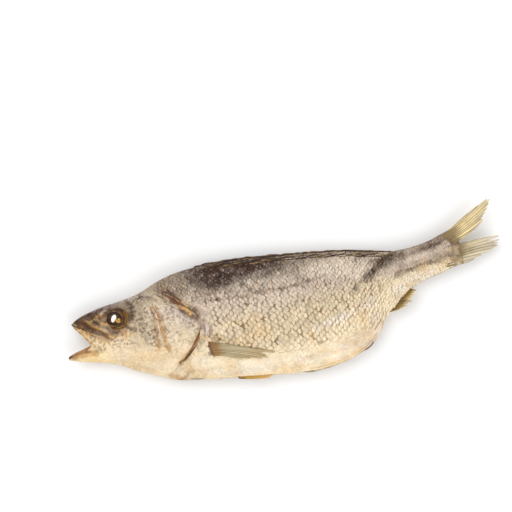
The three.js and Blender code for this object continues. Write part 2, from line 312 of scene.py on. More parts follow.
@dataclass(frozen=True)
class FishShape:
    """The body without its fins: outline, thickness and how full its section is.

    Attributes:
        front: The tip of the lower jaw.
        rear: The end of the scaled tail stem.
        back: Upper outline.
        belly: Lower outline.
        girth: Half of the thickness at the thickest.
        thickest_at: Share of the way from back to belly where that is.
        fullness: Exponent of the section at the back and at the belly.
    """

    front: float = -195.5
    rear: float = 158.0
    back: Profile = Profile((
        (-195.5, -5.5), (-191, 10), (-186, 21), (-180, 24.8), (-172, 27.3), (-160, 29.8), (-145, 31.2),
        (-130, 33.2), (-120, 35.6), (-110, 39.3), (-100, 42.3), (-90, 44.3), (-75, 45.4), (-55, 44.8),
        (-30, 42.6), (0, 38.8), (30, 34.6), (60, 29.2), (80, 24.2), (95, 20.9), (108, 20.1), (120, 20.6),
        (132, 22.2), (143, 25.2), (151, 27.6), (158, 29.5)))
    belly: Profile = Profile((
        (-195.5, -8.8), (-191, -10.6), (-178, -14.6), (-165, -18.1), (-154, -22.4), (-140, -31),
        (-122, -39.9), (-108, -46.3), (-90, -50.7), (-54, -57.5), (-11, -63.9), (8, -66.4), (22, -66.7),
        (35, -64.9), (49, -61.7), (58, -58.6), (66, -53.4), (74, -45.6), (79, -38.6), (84, -32.4),
        (90, -28.6), (98, -22), (107, -15.6), (117, -11.6), (138, -7.3), (150, -4.6), (158, -4)))
    girth: Profile = Profile((
        (-195.5, 1.0), (-193.5, 2.7), (-189, 4.4), (-183, 6.2), (-170, 9), (-150, 12.4), (-130, 14.6),
        (-110, 15.8), (-90, 16), (-55, 15.4), (-15, 14.2), (25, 12.2), (60, 9.8), (90, 7.4), (115, 5.9),
        (134, 4.2), (143, 2.9), (149, 1.6), (153, 0.7), (158, 0.12)))
    thickest_at: float = 0.4
    fullness: tuple[float, float] = (0.5, 0.86)

    def share(self, x: Array, y: Array) -> Array:
        """How far from back to belly a place is, from 0 to 1."""
        return np.clip((self.back(x) - y) / (self.back(x) - self.belly(x)), 0.001, 0.999)

    def y_at(self, x: Array, share: Array) -> Array:
        """The y that is a share of the way from back to belly."""
        return self.back(x) + (self.belly(x) - self.back(x)) * share

    def swell(self, x: Array, share: Array) -> Array:
        """How far the bare flank stands off the middle plane.

        Args:
            x: Where along the body.
            share: How far from back to belly.

        Returns:
            The height, in mm.
        """
        phase = np.clip(share, 0, 1) ** (math.log(0.5) / math.log(self.thickest_at))
        bulge = np.clip(np.sin(math.pi * phase), 0, 1)
        power = self.fullness[0] + (self.fullness[1] - self.fullness[0]) * smooth(share, 0.3, 0.9)
        return self.girth(x) * bulge**power

    def height(self, x: Array, y: Array) -> Array:
        """How far the bare flank stands off the middle plane over a place in it."""
        return self.swell(x, self.share(x, y))


SHAPE = FishShape()


def pressed(height: Array, side: Side) -> Array:
    """Flattens the right flank where it lies, and leaves the left one.

    Args:
        height: How far the flank stands off the middle plane.
        side: The flank.

    Returns:
        The height after drying flat.
    """
    if side == Side.LEFT:
        return height
    limit, ease = REST_DEPTH - 0.7, 1.6  # room for the scales that are pressed under it
    part = np.clip(0.5 + 0.5 * (limit - height) / ease, 0, 1)
    return limit * (1 - part) + height * part - ease * part * (1 - part)


@dataclass(frozen=True)
class Stain:
    """A soft patch of colour along a line on the flank.

    Attributes:
        tone: Its colour.
        reach: How far off the line the colour goes.
        strength: How much of it is in the middle.
        line: The line's points, or the one place.
        edge: Share of the reach over which it fades.
        only: The side it is on, looking along the line: 1 for its left, -1 for its right, or 0 for both.
    """

    tone: Tone
    reach: float
    strength: float
    line: Line
    edge: float = 1.0
    only: int = 0

    def cover(self, x: Array, y: Array) -> Array:
        """Measures how much of the colour is at each place.

        Args:
            x: The places' x.
            y: Their y.

        Returns:
            Shares from 0 to the stain's strength.
        """
        gap, side = Curve(self.line).within(x, y, self.reach)
        here = smooth(gap * side * self.only, -0.7, 0.7) if self.only else 1.0
        return self.strength * here * (1 - smooth(gap, self.reach * (1 - self.edge), self.reach))


# The tail's rays start under the skin of the stem's end and fan out from there.
RAY_ROOTS = tuple(((141.0 + abs(k - 3.5), 5.0 + 2.1 * k), (160.0, -2.5 + 4.5 * k)) for k in range(8))

# Blotches, folds and bare spots as the photo shows them, in the order in which they lie over each other.
STAINS: tuple[Stain, ...] = (
    # Cheek and nape.
    Stain(Tone.CHEEK, 24, 0.6, ((-130, 14), (-122, 2))),
    Stain(Tone.LILAC, 12, 0.6, ((-112, 16), (-96, 12), (-88, 2))),
    Stain(Tone.HEAD, 9, 0.45, ((-103.3, 28.3), (-86.6, 27.1)), 0.8),
    # Snout: dark folds with light ridges between them.
    Stain(Tone.HEAD, 8, 0.9, ((-188, 14), (-180, 22), (-166, 26), (-150, 29)), 0.8),
    Stain(Tone.HEAD, 8, 0.85, ((-180, 17), (-170, 12), (-160, 8), (-152, 6)), 0.8),
    Stain(Tone.LILAC, 2.6, 0.5, ((-168.3, 29), (-162, 29.4), (-154.6, 30.3))),
    Stain(Tone.LILAC, 6, 0.6, ((-147.2, 31.3), (-139, 32.1), (-129.1, 32.5), (-118.7, 31))),
    Stain(Tone.GOLD, 3.2, 0.75, ((-178.2, 17), (-171.1, 9.1), (-163.6, 2.9), (-155.5, -0.7))),
    Stain(Tone.FOLD, 3.2, 0.95, ((-177, 22.1), (-169.7, 15.1), (-163.3, 8.2), (-154.9, 1.8)), 0.8),
    Stain(Tone.MOUTH, 3, 0.6, ((-166, 16), (-161.2, 9.5), (-155.7, 6.5))),
    Stain(Tone.BACK, 1.1, 0.7, ((-174.4, 17.9), (-167.1, 10.9), (-160.5, 4.9))),
    Stain(Tone.LILAC, 2, 0.75, ((-160.2, 13.8), (-156.8, 9.4), (-152.9, 6.7))),
    Stain(Tone.TAN, 1.5, 0.95, ((-169.4, 20.4), (-164.8, 21.1), (-161.8, 18.6), (-159.2, 14.4)), 0.9),
    Stain(Tone.GOLD, 1.5, 0.9, ((-162.7, 22.4), (-158.3, 22.3), (-156.3, 19.1)), 0.9),
    Stain(Tone.BACK, 1.3, 0.7, ((-172, 24.5), (-166.5, 25.1))),
    Stain(Tone.BACK, 1.2, 0.7, ((-167.7, 16.4), (-163.8, 13.7))),
    Stain(Tone.BACK, 1.3, 0.6, ((-159.4, 25.2), (-154.3, 24))),
    # Round the eye.
    Stain(Tone.FOLD, 14.5, 0.7, (EYE,), 0.6),
    Stain(Tone.BACK, 4.6, 0.8, ((-135.2, 29.4), (-132.3, 22.5), (-134.3, 14))),
    Stain(Tone.FOLD, 2.2, 0.8, ((-156, 16.4), (-154.2, 8.8), (-148.9, 4.9), (-141.7, 5)), 0.9),
    Stain(Tone.GOLD, 1.1, 0.8, ((-154.2, 5.2), (-150.3, 2.6), (-143.8, 3.7), (-140.3, 7.4))),
    # Painted shade along the brow groove.
    Stain(Tone.BACK, 1.3, 0.7, BROW_GROOVE),
    # The cheek's two ridges.
    Stain(Tone.SILVER, 2.6, 0.5, ((-118.8, 23), (-117.6, 16.4))),
    Stain(Tone.GOLD, 3.2, 0.7, CHEEK_FRONT),
    Stain(Tone.FOLD, 0.9, 0.6, ((-114.8, 21.1), (-114.6, 10.4), (-115.6, -1.9))),
    Stain(Tone.GOLD, 3.4, 0.9, CHEEK_REAR),
    Stain(Tone.PALE, 1.1, 0.85, CHEEK_GROOVE),
    Stain(Tone.FOLD, 0.9, 0.55, ((-109.7, 20), (-107.4, 10.5), (-105.9, -2.3))),
    Stain(Tone.TAN, 5, 0.4, ((-118.3, -17.3), (-110.7, -15.5))),
    # The gill opening, from its upper corner down to the throat.
    Stain(Tone.FOLD, 6.5, 0.85,
          ((-103.4, 31.9), (-95.9, 25.7), (-90.2, 19), (-84.8, 11.6), (-78.2, 5.6)), 0.9),
    Stain(Tone.MOIST, 2.4, 0.5, ((-99.2, 26.5), (-92.8, 19.6), (-88, 13.2), (-81.6, 6.3))),
    Stain(Tone.FOLD, 2.4, 0.45, ((-101.1, 34), (-93.8, 30.6))),
    # Painted highlight on the moist tissue at the gill's upper corner.
    Stain(Tone.THROAT, 3, 0.9, ((-85.1, 14.3), (-80.8, 9.7)), 0.8),
    Stain(Tone.PINK, 3.4, 0.8, ((-77.9, -0.8), (-77.7, -7.9)), 0.8),
    Stain(Tone.GOLD, 4.2, 0.8, ((-80.8, -13.5), (-85.8, -19.5), (-93.6, -26.6), (-101.1, -32)), 0.9),
    # Painted shade in the lower gill slit, just behind the cover's free edge.
    Stain(Tone.SLIT, 1.4, 0.85, ((-79.6, -12), (-85.8, -19.5), (-93.6, -26.6), (-101.1, -32)), 0.8),
    Stain(Tone.PINK, 4.2, 0.85, ((-73.8, -6.2), (-71.5, -12.1)), 0.8),
    # Throat and jaws.
    Stain(Tone.GOLD, 1.3, 0.4, ((-149.5, -5.7), (-147.5, -12.4))),
    Stain(Tone.GOLD, 5, 0.7, ((-112, -42), (-104, -46), (-99, -47))),
    Stain(Tone.TAN, 7, 0.4, ((-95, -40), (-80, -46))),
    Stain(Tone.TAN, 6, 0.3, ((-60, -50), (-52, -53))),
    Stain(Tone.TAN, 4.5, 0.35, ((-178, -13), (-150, -22), (-124, -36))),
    Stain(Tone.TAN, 5, 0.3, ((-140, -16), (-128, -21), (-112, -26))),
    Stain(Tone.TIP, 5, 0.95, ((-196, -7), (-192, -5.5)), 0.8),
    Stain(Tone.TIP, 4.5, 0.9, ((-190, 21), (-185, 20)), 0.8),
    Stain(Tone.MOUTH, 4.4, 0.9, ((-190, -6), (-181, -6.4), (-172, -8)), 0.7),
    Stain(Tone.FOLD, 2.6, 0.75, ((-189, -4.6), (-180, -4.4), (-171, -5))),
    # The dark fold of the back before the tail stem, and the stem's bands.
    Stain(Tone.BACK_OLIVE, 9, 0.7,
          ((105.8, 21.1), (95.5, 19), (85.4, 14.2), (73.8, 6.2), (58.5, -1.9)), only=1),
    Stain(Tone.FIN_LINE, 10.5, 0.95, ((91.7, 18.1), (85.8, 15.9), (78.7, 12.2), (73.3, 8.1)), 0.7, only=1),
    # A light silver band along the dark patch: the flank's own silver and a painted highlight.
    Stain(Tone.SILVER, 8, 0.75, ((90.2, 19.4), (76.1, 16.4), (69.3, 9.9), (59.3, 1.5)), 0.9, only=-1),
    Stain(Tone.BACK, 7, 0.45, ((36, 31),)),
    Stain(Tone.BACK_OLIVE, 9, 0.12, ((45, -6), (20, -10)), 0.8),
    Stain(Tone.BACK, 2.6, 0.7, ((95.1, 17.3), (109.9, 15.7), (123.6, 17), (140, 18.6))),
    Stain(Tone.SILVER, 3.2, 0.55, ((92, 11.8), (104.1, 9.9), (117.6, 10.4), (131.3, 11.7))),
    Stain(Tone.BACK, 1.9, 0.7, ((98.7, 2.2), (107.6, 1.9), (116.9, 3.4), (129.5, 4))),
    Stain(Tone.BACK_BROWN, 4.6, 0.5, ((98.1, -0.3), (116.3, 0.8), (134.6, 2.9), (147.2, 3.5))),
    # Flank and belly.
    Stain(Tone.SILVER, 11, 0.7, ((66, 12), (48, 16), (30, 20)), 0.8),
    Stain(Tone.SILVER, 11, 0.3, ((-60, 3), (-30, 2), (10, 0)), 0.8),
    Stain(Tone.BACK_BROWN, 1.4, 0.75, ((-64, 14), (-45, 13), (-18, 12.2), (0, 10.8), (38, 13.6)), 0.8),
    Stain(Tone.TAN, 3.2, 0.35, ((36, -64), (60, -57))),
    Stain(Tone.TAN, 2.4, 0.6, ((8, -66), (26, -66))),
    Stain(Tone.TAN, 6, 0.3, ((24.6, -63.7), (43.1, -60.8), (54.6, -57.3))),
    Stain(Tone.PINK, 4.5, 0.3, ((0.1, -53.6), (27.1, -52.7), (49.7, -51.7))),
    Stain(Tone.PALE, 5, 0.7, ((16.2, -30.5), (37.8, -25.7), (51.9, -22.7))),
    Stain(Tone.PALE, 6, 0.6, ((-59.9, -50.5), (-33.7, -52.9))),
    Stain(Tone.PALE, 7, 0.7, ((94.4, -12.9), (110.5, -8.6), (129, -5.7))),
    Stain(Tone.FIN_ROOT, 15, 0.85, ((160, 32), (159, 12), (156, -6))),
    Stain(Tone.GOLD, 4, 0.4, ((138, 2.1), (143.5, -1))),
    Stain(Tone.PALE, 5, 0.4, ((-40, -47), (0, -52)), 0.8),
    # Smaller blotches.
    Stain(Tone.BACK, 8, 0.5, ((89.5, 12.4), (102.6, 11.1))),
    Stain(Tone.TAN, 6, 0.4, ((-13.8, -55.8), (-0.7, -57))),
    Stain(Tone.BACK_BROWN, 5, 0.4, ((138.8, 5.5), (151.9, 4.2))),
    Stain(Tone.LILAC, 10, 0.4, ((41.6, -48), (60.3, -44.3), (74.5, -33.3))),
    Stain(Tone.GOLD, 5, 0.35, ((-30.1, -6.5), (-28, -13.2))),
    Stain(Tone.GOLD, 3, 0.3, ((-39.4, -15.9), (-36.1, -13.1))),
    Stain(Tone.PINK, 4, 0.45, ((55.2, -54.7), (67.2, -49.4), (78.2, -40.4))),
    Stain(Tone.TAN, 3.5, 0.5, ((-76.1, -16.4), (-61.7, -19.7), (-42.7, -30.3))),
    Stain(Tone.SILVER, 3, 0.7, ((57.8, -20.5), (69.5, -16), (74.5, -10))),
    Stain(Tone.CHEEK, 9, 0.35, ((-103.9, 37.4),)),
    Stain(Tone.CHEEK, 8, 0.5, ((-75.7, 20.2), (-66.4, 21.6))),
    Stain(Tone.SILVER, 8, 0.38, ((-27.6, 19.8), (-13.4, 19.2), (3.3, 18))),
    Stain(Tone.STRAW, 6, 0.25, ((-82.1, 35),)),
    Stain(Tone.BACK, 7, 0.25, ((-54.5, 38.5),)),
    Stain(Tone.TAN, 7, 0.14, ((7.4, 35.8),)),
    Stain(Tone.SILVER, 8, 0.6, ((58.6, 25.8),)),
    Stain(Tone.LILAC, 10, 0.32, ((-55.4, -15.8), (-39.4, -15.9))),
    Stain(Tone.PALE, 7, 0.45, ((59.5, -20.9), (72.5, -18.5))),
    Stain(Tone.SILVER, 4.5, 0.3, ((110.3, 17.4),)),
    Stain(Tone.BACK_BROWN, 6, 0.24, ((104.8, 5.3), (119.3, 6.4), (135.6, 7.1), (150.5, 9.9))),
    Stain(Tone.PALE, 5, 0.4, ((108.8, -8.2),)),
    Stain(Tone.BACK, 4, 0.25, ((132.6, 17.6),)),
    Stain(Tone.CHEEK, 4.2, 0.55, ((-73.1, -7.2), (-70.2, -14.1), (-64.4, -19.9))),
    # Painted shadow along the breast fin's root.
    Stain(Tone.SLIT, 1.6, 0.8, ((-73.3, -19.7), (-73, -26), (-72, -33.4)), 0.8),
    # Painted highlight on the moist tissue at the gill's upper corner.
    Stain(Tone.TAN, 4, 0.5, ((-83.1, 11.2),)),
    Stain(Tone.FIN_ROOT, 5, 0.5, ((153, 20.9), (159.8, 11.3))),
    Stain(Tone.FOLD, 2.4, 0.5, ((-106.9, -49.4), (-99.8, -45.7), (-92.3, -40.3))),
    # Painted highlight on the moist tissue at the gill's upper corner.
    Stain(Tone.TAN, 4, 0.4, ((-83.1, 11.2), (-85.7, 15.3))),
    Stain(Tone.SILVER, 8, 0.2, ((7.6, 36.6), (58.6, 25.8))),
    Stain(Tone.STRAW, 7, 0.4, ((61.3, -5.2), (67.4, -2.2))),
    Stain(Tone.SILVER, 4.5, 0.25, ((110.3, 17.4), (120.2, 17.8))),
    Stain(Tone.LILAC, 8, 0.25, ((7.6, -21.4), (18.1, -22))),
    Stain(Tone.BACK, 3.8, 0.6, ((-100.2, 30.3), (-93.9, 22.6), (-90.2, 15.5), (-86.5, 8.4), (-78.8, 3))),
    Stain(Tone.FOLD, 2.4, 0.6, ((-77.9, 10.8), (-76.7, 4.3), (-80, 1.5))),
    # Painted highlight on the moist tissue at the gill's upper corner.
    Stain(Tone.TAN, 3, 0.9, ((-86.1, 13.6), (-82.9, 8.4)), 0.8),
    Stain(Tone.BACK_BROWN, 9, 0.35, ((-123.7, 36.6), (-109.8, 38.7), (-95.5, 42.6))),
    Stain(Tone.LILAC, 2.4, 0.5, ((-160.4, 24.5), (-152.5, 28.1))),
    Stain(Tone.TAN, 1.2, 0.7, ((-168.8, 19.3), (-162.5, 23.2), (-156.8, 24.6))),
    Stain(Tone.FOLD, 1.3, 0.7, ((-168.2, 13.8), (-160.7, 7.6), (-153.2, 1.4))),
    Stain(Tone.BACK, 7, 0.35, ((-54.5, 38.5), (-32.3, 37.8), (-12.9, 36.9))),
    Stain(Tone.SILVER, 11, 0.4, ((-38, 22), (-10, 23), (25, 22), (55, 18))),
    *(Stain(Tone.FOLD if k % 3 else Tone.TAN, 0.9, 0.5, line) for k, line in enumerate(RAY_ROOTS)),
)


@dataclass(frozen=True)
class SkinPaint:
    """The fish's colouring: dark back, lilac-grey upper flank, straw flank and cream belly, with stains.

    Attributes:
        dark_to: Share from back to belly where the dark of the back ends.
        dark_strength: How dark the back is.
        lilac_to: Share where the lilac grey ends.
        cream_from: Share where the cream of the belly starts.
        stains: What is laid over that, in order.
    """

    dark_to: Profile = Profile(((-195, 0.3), (-150, 0.3), (-120, 0.2), (-90, 0.14), (-70, 0.19), (-30, 0.2),
                                (10, 0.16), (40, 0.1), (60, 0.07), (80, 0.16), (95, 0.18), (158, 0.24)))
    dark_strength: Profile = Profile(((-195, 0.9), (-150, 0.75), (-125, 0.45), (-92, 0.5), (-76, 0.85),
                                      (-60, 1.0), (-15, 0.98), (8, 0.75), (37, 0.42), (60, 0.22), (80, 0.75),
                                      (92, 0.9), (108, 0.55), (132, 0.72), (158, 0.5)))
    lilac_to: Profile = Profile(((-195, 0.3), (-130, 0.42), (-90, 0.5), (-60, 0.48), (0, 0.42), (50, 0.38),
                                 (75, 0.4), (95, 0.5), (120, 0.56), (158, 0.66)))
    cream_from: Profile = Profile(((-195, 0.5), (-150, 0.55), (-110, 0.62), (-80, 0.7), (-55, 0.75),
                                   (-6, 0.76), (30, 0.66), (60, 0.62), (80, 0.64), (100, 0.58), (120, 0.6),
                                   (158, 0.76)))
    stains: tuple[Stain, ...] = STAINS

    def tint(self, x: Array, y: Array, side: Side) -> Array:
        """The skin's colour.

        Args:
            x: Where along the body.
            y: How high up.
            side: The flank; the two are blotched in different places.

        Returns:
            Linear colours, one a place.
        """
        places = stacked(x, y, side * 40.0)
        share = SHAPE.share(x, y) + (0.035 * grain(places, 7, 3) + 0.03 * grain(places, 2.6, 4))
        cream, lilac, dark = self.cream_from(x), self.lilac_to(x), self.dark_to(x)
        deep = (1 - smooth(share, dark - 0.08, dark + 0.11)) * self.dark_strength(x)
        colour = layered(
            Tone.CREAM,
            (Tone.THROAT, smooth(-x, 60, 120) * 0.6),
            (Tone.STRAW, 1 - smooth(share, cream - 0.08, cream + 0.05)),
            (Tone.OPERCLE, smooth(-x, 70, 100) * (1 - smooth(-x, 150, 170)) * 0.7),
            (Tone.LILAC, 0.75 * (1 - smooth(share, lilac - 0.14, lilac + 0.1)) * smooth(x, -120, -70)),
            (mix(Tone.BACK, Tone.BACK_BROWN, smooth(x, 10, 70)), deep))
        strayed_x = x + 1.0 * grain(places, 4, 5) + 0.6 * grain(places, 1.7, 6)
        strayed_y = y + 1.0 * grain(places, 4, 9) + 0.6 * grain(places, 1.7, 10)
        wander = 0.85 + 0.4 * grain(places, 3, 12)
        for stain in self.stains:
            colour = mix(colour, stain.tone, stain.cover(strayed_x, strayed_y) * wander)
        folds, crests = wrinkles(x, y, side)
        soft = soft_belly(x, y)
        streaks = grain(stacked(x * 0.3, y, side * 40.0), 3.0, 93)
        warm = np.clip(grain(places, 12, 6) + 0.4 * grain(places, 4, 7), 0, 1) * smooth(share, 0.35, 0.6)
        # Painted shade in the folds of the wrinkles and a painted highlight on their crests; then streaks on
        # the soft belly and warm patches.
        colour = layered(
            colour,
            (Tone.BACK, 0.65 * folds),
            (Tone.TAN, 0.6 * crests),
            (Tone.TAN, 0.24 * soft * np.clip(streaks, 0, 1)),
            (Tone.PALE, 0.5 * soft * np.clip(-streaks, 0, 1)),
            (Tone.TAN, 0.34 * warm))
        return colour * (1 + 0.08 * grain(places, 7, 8) + 0.08 * grain(places, 2.4, 18))[..., None]

    def flecks(self, x: Array, y: Array) -> Array:
        """Measures how densely places are flecked with dark pigment.

        Args:
            x: Where along the body.
            y: How high up.

        Returns:
            Shares from 0 to 1.
        """
        share = SHAPE.share(x, y)
        head = smooth(-x, 100, 118) * (1 - smooth(share, 0.5, 0.86))
        cover = smooth(-x, 74, 80) * (1 - smooth(share, 0.45, 0.95)) * 0.75
        belly = 0.18 + 0.12 * grain(stacked(x, y), 14, 19)
        clustered = 0.85 + 0.7 * grain(stacked(x, y), 5, 20)
        return np.clip(np.maximum(np.maximum(head, cover) * clustered, belly), 0, 1)


def soft_belly(x: Array, y: Array) -> Array:
    """Where the thin skin of the belly, which has no scales, has shrunk in fine wrinkles, from 0 to 1."""
    return smooth(-(y - scale_limit(x)), 0, 6) * smooth(x, -112, -80) * (1 - smooth(x, 70, 84))


def wrinkles(x: Array, y: Array, side: Side) -> tuple[Array, Array]:
    """Folds of thin skin that has dried on the bones of the snout and round the eye.

    Args:
        x: Where along the body.
        y: How high up.
        side: The flank.

    Returns:
        How deep in a fold a place is, and how high on a crest, both from 0 to 1.
    """
    places = stacked((x * 0.8 - y * 0.6) * 0.32, x * 0.6 + y * 0.8, side * 30.0)
    net = grain(places, 2.8, 91) + 0.5 * grain(places, 1.3, 92)
    where = np.zeros(x.shape)
    for line, reach in FOLDED:
        gap = Curve(line).within(x, y, reach)[0]
        where = np.maximum(where, 1 - smooth(gap, reach * 0.4, reach))
    return where * smooth(-net, 0.05, 0.6), where * smooth(net, 0.2, 0.75)


FOLDED: tuple[tuple[Line, float], ...] = (
    (((-184, 18), (-172, 16), (-160, 13), (-152, 6), (-138, 4)), 9.0),
    (((-100, 24), (-88, 15), (-78, 7)), 6.0),
)
PAINT = SkinPaint()


@dataclass(frozen=True)
class SkinRelief:
    """What stands out of or sinks into the bare flank.

    Attributes:
        ridges: Lines with their height (negative for a groove) and half width, in mm.
        socket: The eye socket's radius and depth.
        nostrils: Where the two nostrils are.
    """

    ridges: tuple[tuple[Line, float, float], ...] = (
        (CHEEK_FRONT, 1.0, 0.9),
        (CHEEK_REAR, 1.1, 0.9),
        (CHEEK_GROOVE, -0.6, 0.8),
        (BROW_GROOVE, -1.3, 0.8),
        (((-128, 30), (-112, 26)), 0.5, 1.2),
        (((-180, 17.5), (-171, 11), (-161, 5.4), (-151, 3.4), (-141, 5.6), (-135, 12)), 0.8, 1.3),
        (((-177, 13.5), (-168, 7.5), (-158, 2), (-148, 0.5), (-137, 3)), 0.6, 1.0),
        (((-178.5, 15.6), (-169, 9), (-159, 3.6), (-149, 2)), -0.7, 0.7),
        (((-174, 20.5), (-166, 17.5), (-158, 14)), 0.7, 1.3),
        (((-170, 22.5), (-160, 20.5)), -0.6, 0.8),
        (((-155, 27), (-145, 29), (-134, 27)), 0.7, 1.6),
        (((-133, 24), (-131, 16), (-134, 8)), 0.4, 1.2),
        (((-158, -20), (-142, -27), (-126, -35), (-113, -40)), -0.7, 0.8),
        (((-150, -18), (-134, -25.5), (-120, -32), (-109, -35)), 0.5, 1.1),
        (((-146, -13), (-132, -20), (-118, -26.5)), 0.35, 1.4),
        (((-139, -24.5), (-124, -31.5), (-111, -37)), 0.5, 0.8),
        (((-191, -7.5), (-178, -8.5), (-168, -11)), 0.6, 1.0),
        (((-190, -5.7), (-178, -6), (-167, -8.5)), -0.8, 0.8),
        (((-73.4, -1), (-72.4, -6), (-75.5, -13.5), (-86, -25.5), (-98, -36), (-110, -43.5)), -1.6, 1.5),
        (((-68.5, 2), (-68, -8), (-71, -17), (-80, -29)), 0.9, 2.0),
        (((-96, 21.5), (-86, 15.5), (-78, 9)), -0.7, 1.6),
        (((-98, 25), (-86, 19.5), (-74, 10)), 0.7, 1.8),
        (((73, 9.5), (65, 4), (56, -2.8)), 0.5, 1.0),
        (((-60, -33), (-30, -42), (0, -48), (40, -46), (70, -40)), -0.6, 5.0),
        (((-50, -49), (-10, -56), (30, -57), (55, -51)), 0.5, 2.6),
        (((-44, -53.5), (0, -60), (34, -60.5)), -0.35, 1.1),
        (((-80, -42), (-50, -47), (-20, -51)), 0.25, 1.2),
        *((line, -0.35, 0.7) for line in RAY_ROOTS),
    )
    socket: tuple[float, float] = (10.6, 2.6)
    nostrils: Line = ((-164.6, 20.8), (-160.2, 22.4))

    def rise(self, x: Array, y: Array, side: Side) -> Array:
        """How far the skin stands out of the bare flank.

        Args:
            x: Where along the body.
            y: How high up.
            side: The flank.

        Returns:
            The rise, in mm.
        """
        places = stacked(x, y, side * 30.0)
        total = 0.34 * grain(places, 16, 11) + 0.12 * grain(places, 5, 12)
        head = (1 - smooth(x, -120, -95)) * (1 - nape_share(x, y))
        total += head * (0.24 * grain(places, 2.2, 13) + 0.1 * grain(places, 1.1, 14))
        total += 0.6 * grain(places, 4.5, 17) * (1 - smooth(x, -162, -146)) * smooth(y, 12, 18)
        for line, height, half in self.ridges:
            gap = Curve(line).within(x, y, 3 * half)[0]
            total += height * bell(gap, 0, half)
        radius, depth = self.socket
        off_eye = np.hypot(x - EYE[0], (y - EYE[1]) * 1.05)
        total -= depth * (1 - smooth(off_eye, radius - 2.5, radius + 0.3))
        total += 0.9 * bell(off_eye - radius, 1.2, 1.3)
        for centre in self.nostrils:
            off = np.hypot(x - centre[0], y - centre[1])
            total += 0.3 * bell(off, 1.7, 0.6) - 1.0 * bell(off, 0, 1.0)
        folds, crests = wrinkles(x, y, side)
        total += 0.5 * crests - 0.6 * folds
        creased = stacked(x * 0.3, y, side * 30.0)
        return total + soft_belly(x, y) * (0.45 * grain(creased, 2.4, 15) + 0.16 * grain(places, 1.3, 16))


RELIEF = SkinRelief()
RELIEF_GROWS = (0.6, 4.5)  # the flank's height over which the relief grows in, so that thin edges stay sharp
SCALE_LIMIT = Profile(((-110, 10), (-90, -12), (-75, -27), (-55, -32), (-6, -42), (32, -42), (60, -39),
                       (75, -36), (84, -34), (95, -33), (158, -33)))


def scale_limit(x: Array) -> Array:
    """The lowest y that has scales."""
    return SCALE_LIMIT(x)


def nape_share(x: Array, y: Array) -> Array:
    """How well the nape, above and before the gill covers, is covered with scales, from 0 to 1."""
    return smooth(x, -126, -108) * smooth(y - (21.5 - 0.25 * (x + 100)), 0, 3)


def scaled_share(x: Array, y: Array) -> Array:
    """How well a place is covered with scales.

    Args:
        x: Where along the body.
        y: How high up.

    Returns:
        1 on the scaled flank, 0 on the head and the belly, and between them at their edges.
    """
    gap, _, side = GILL_EDGE.near(x, y)
    behind_gill = smooth(np.where(side > 0, gap, -gap), 2.5, 5)
    front = np.maximum(behind_gill * smooth(x, -100, -84), nape_share(x, y))
    return front * smooth(y - scale_limit(x), -2.5, 1.5) * (1 - smooth(x, 144, 154))


def skinned(bare: Array, x: Array, y: Array, side: Side) -> Array:
    """Adds the relief to the bare flank's height, and flattens the right flank."""
    return pressed(bare + RELIEF.rise(x, y, side) * smooth(bare, *RELIEF_GROWS), side)


def skin_height(x: Array, y: Array, side: Side) -> Array:
    """How far the finished skin stands off the middle plane, in mm."""
    return skinned(SHAPE.height(x, y), x, y, side)


def headroom(side: Side, gap: float) -> float:
    """How far off the middle plane a piece may reach: on the right flank, to that gap over the floor."""
    return REST_DEPTH - gap if side == Side.RIGHT else math.inf


class Look(Enum):
    """How light plays on a kind of surface."""

    SKIN = "skin"
    SCALE = "scale"
    BONE = "bone"
    FIN = "fin"
    MOIST = "moist"
    EYE = "eye"
    LENS = "lens"


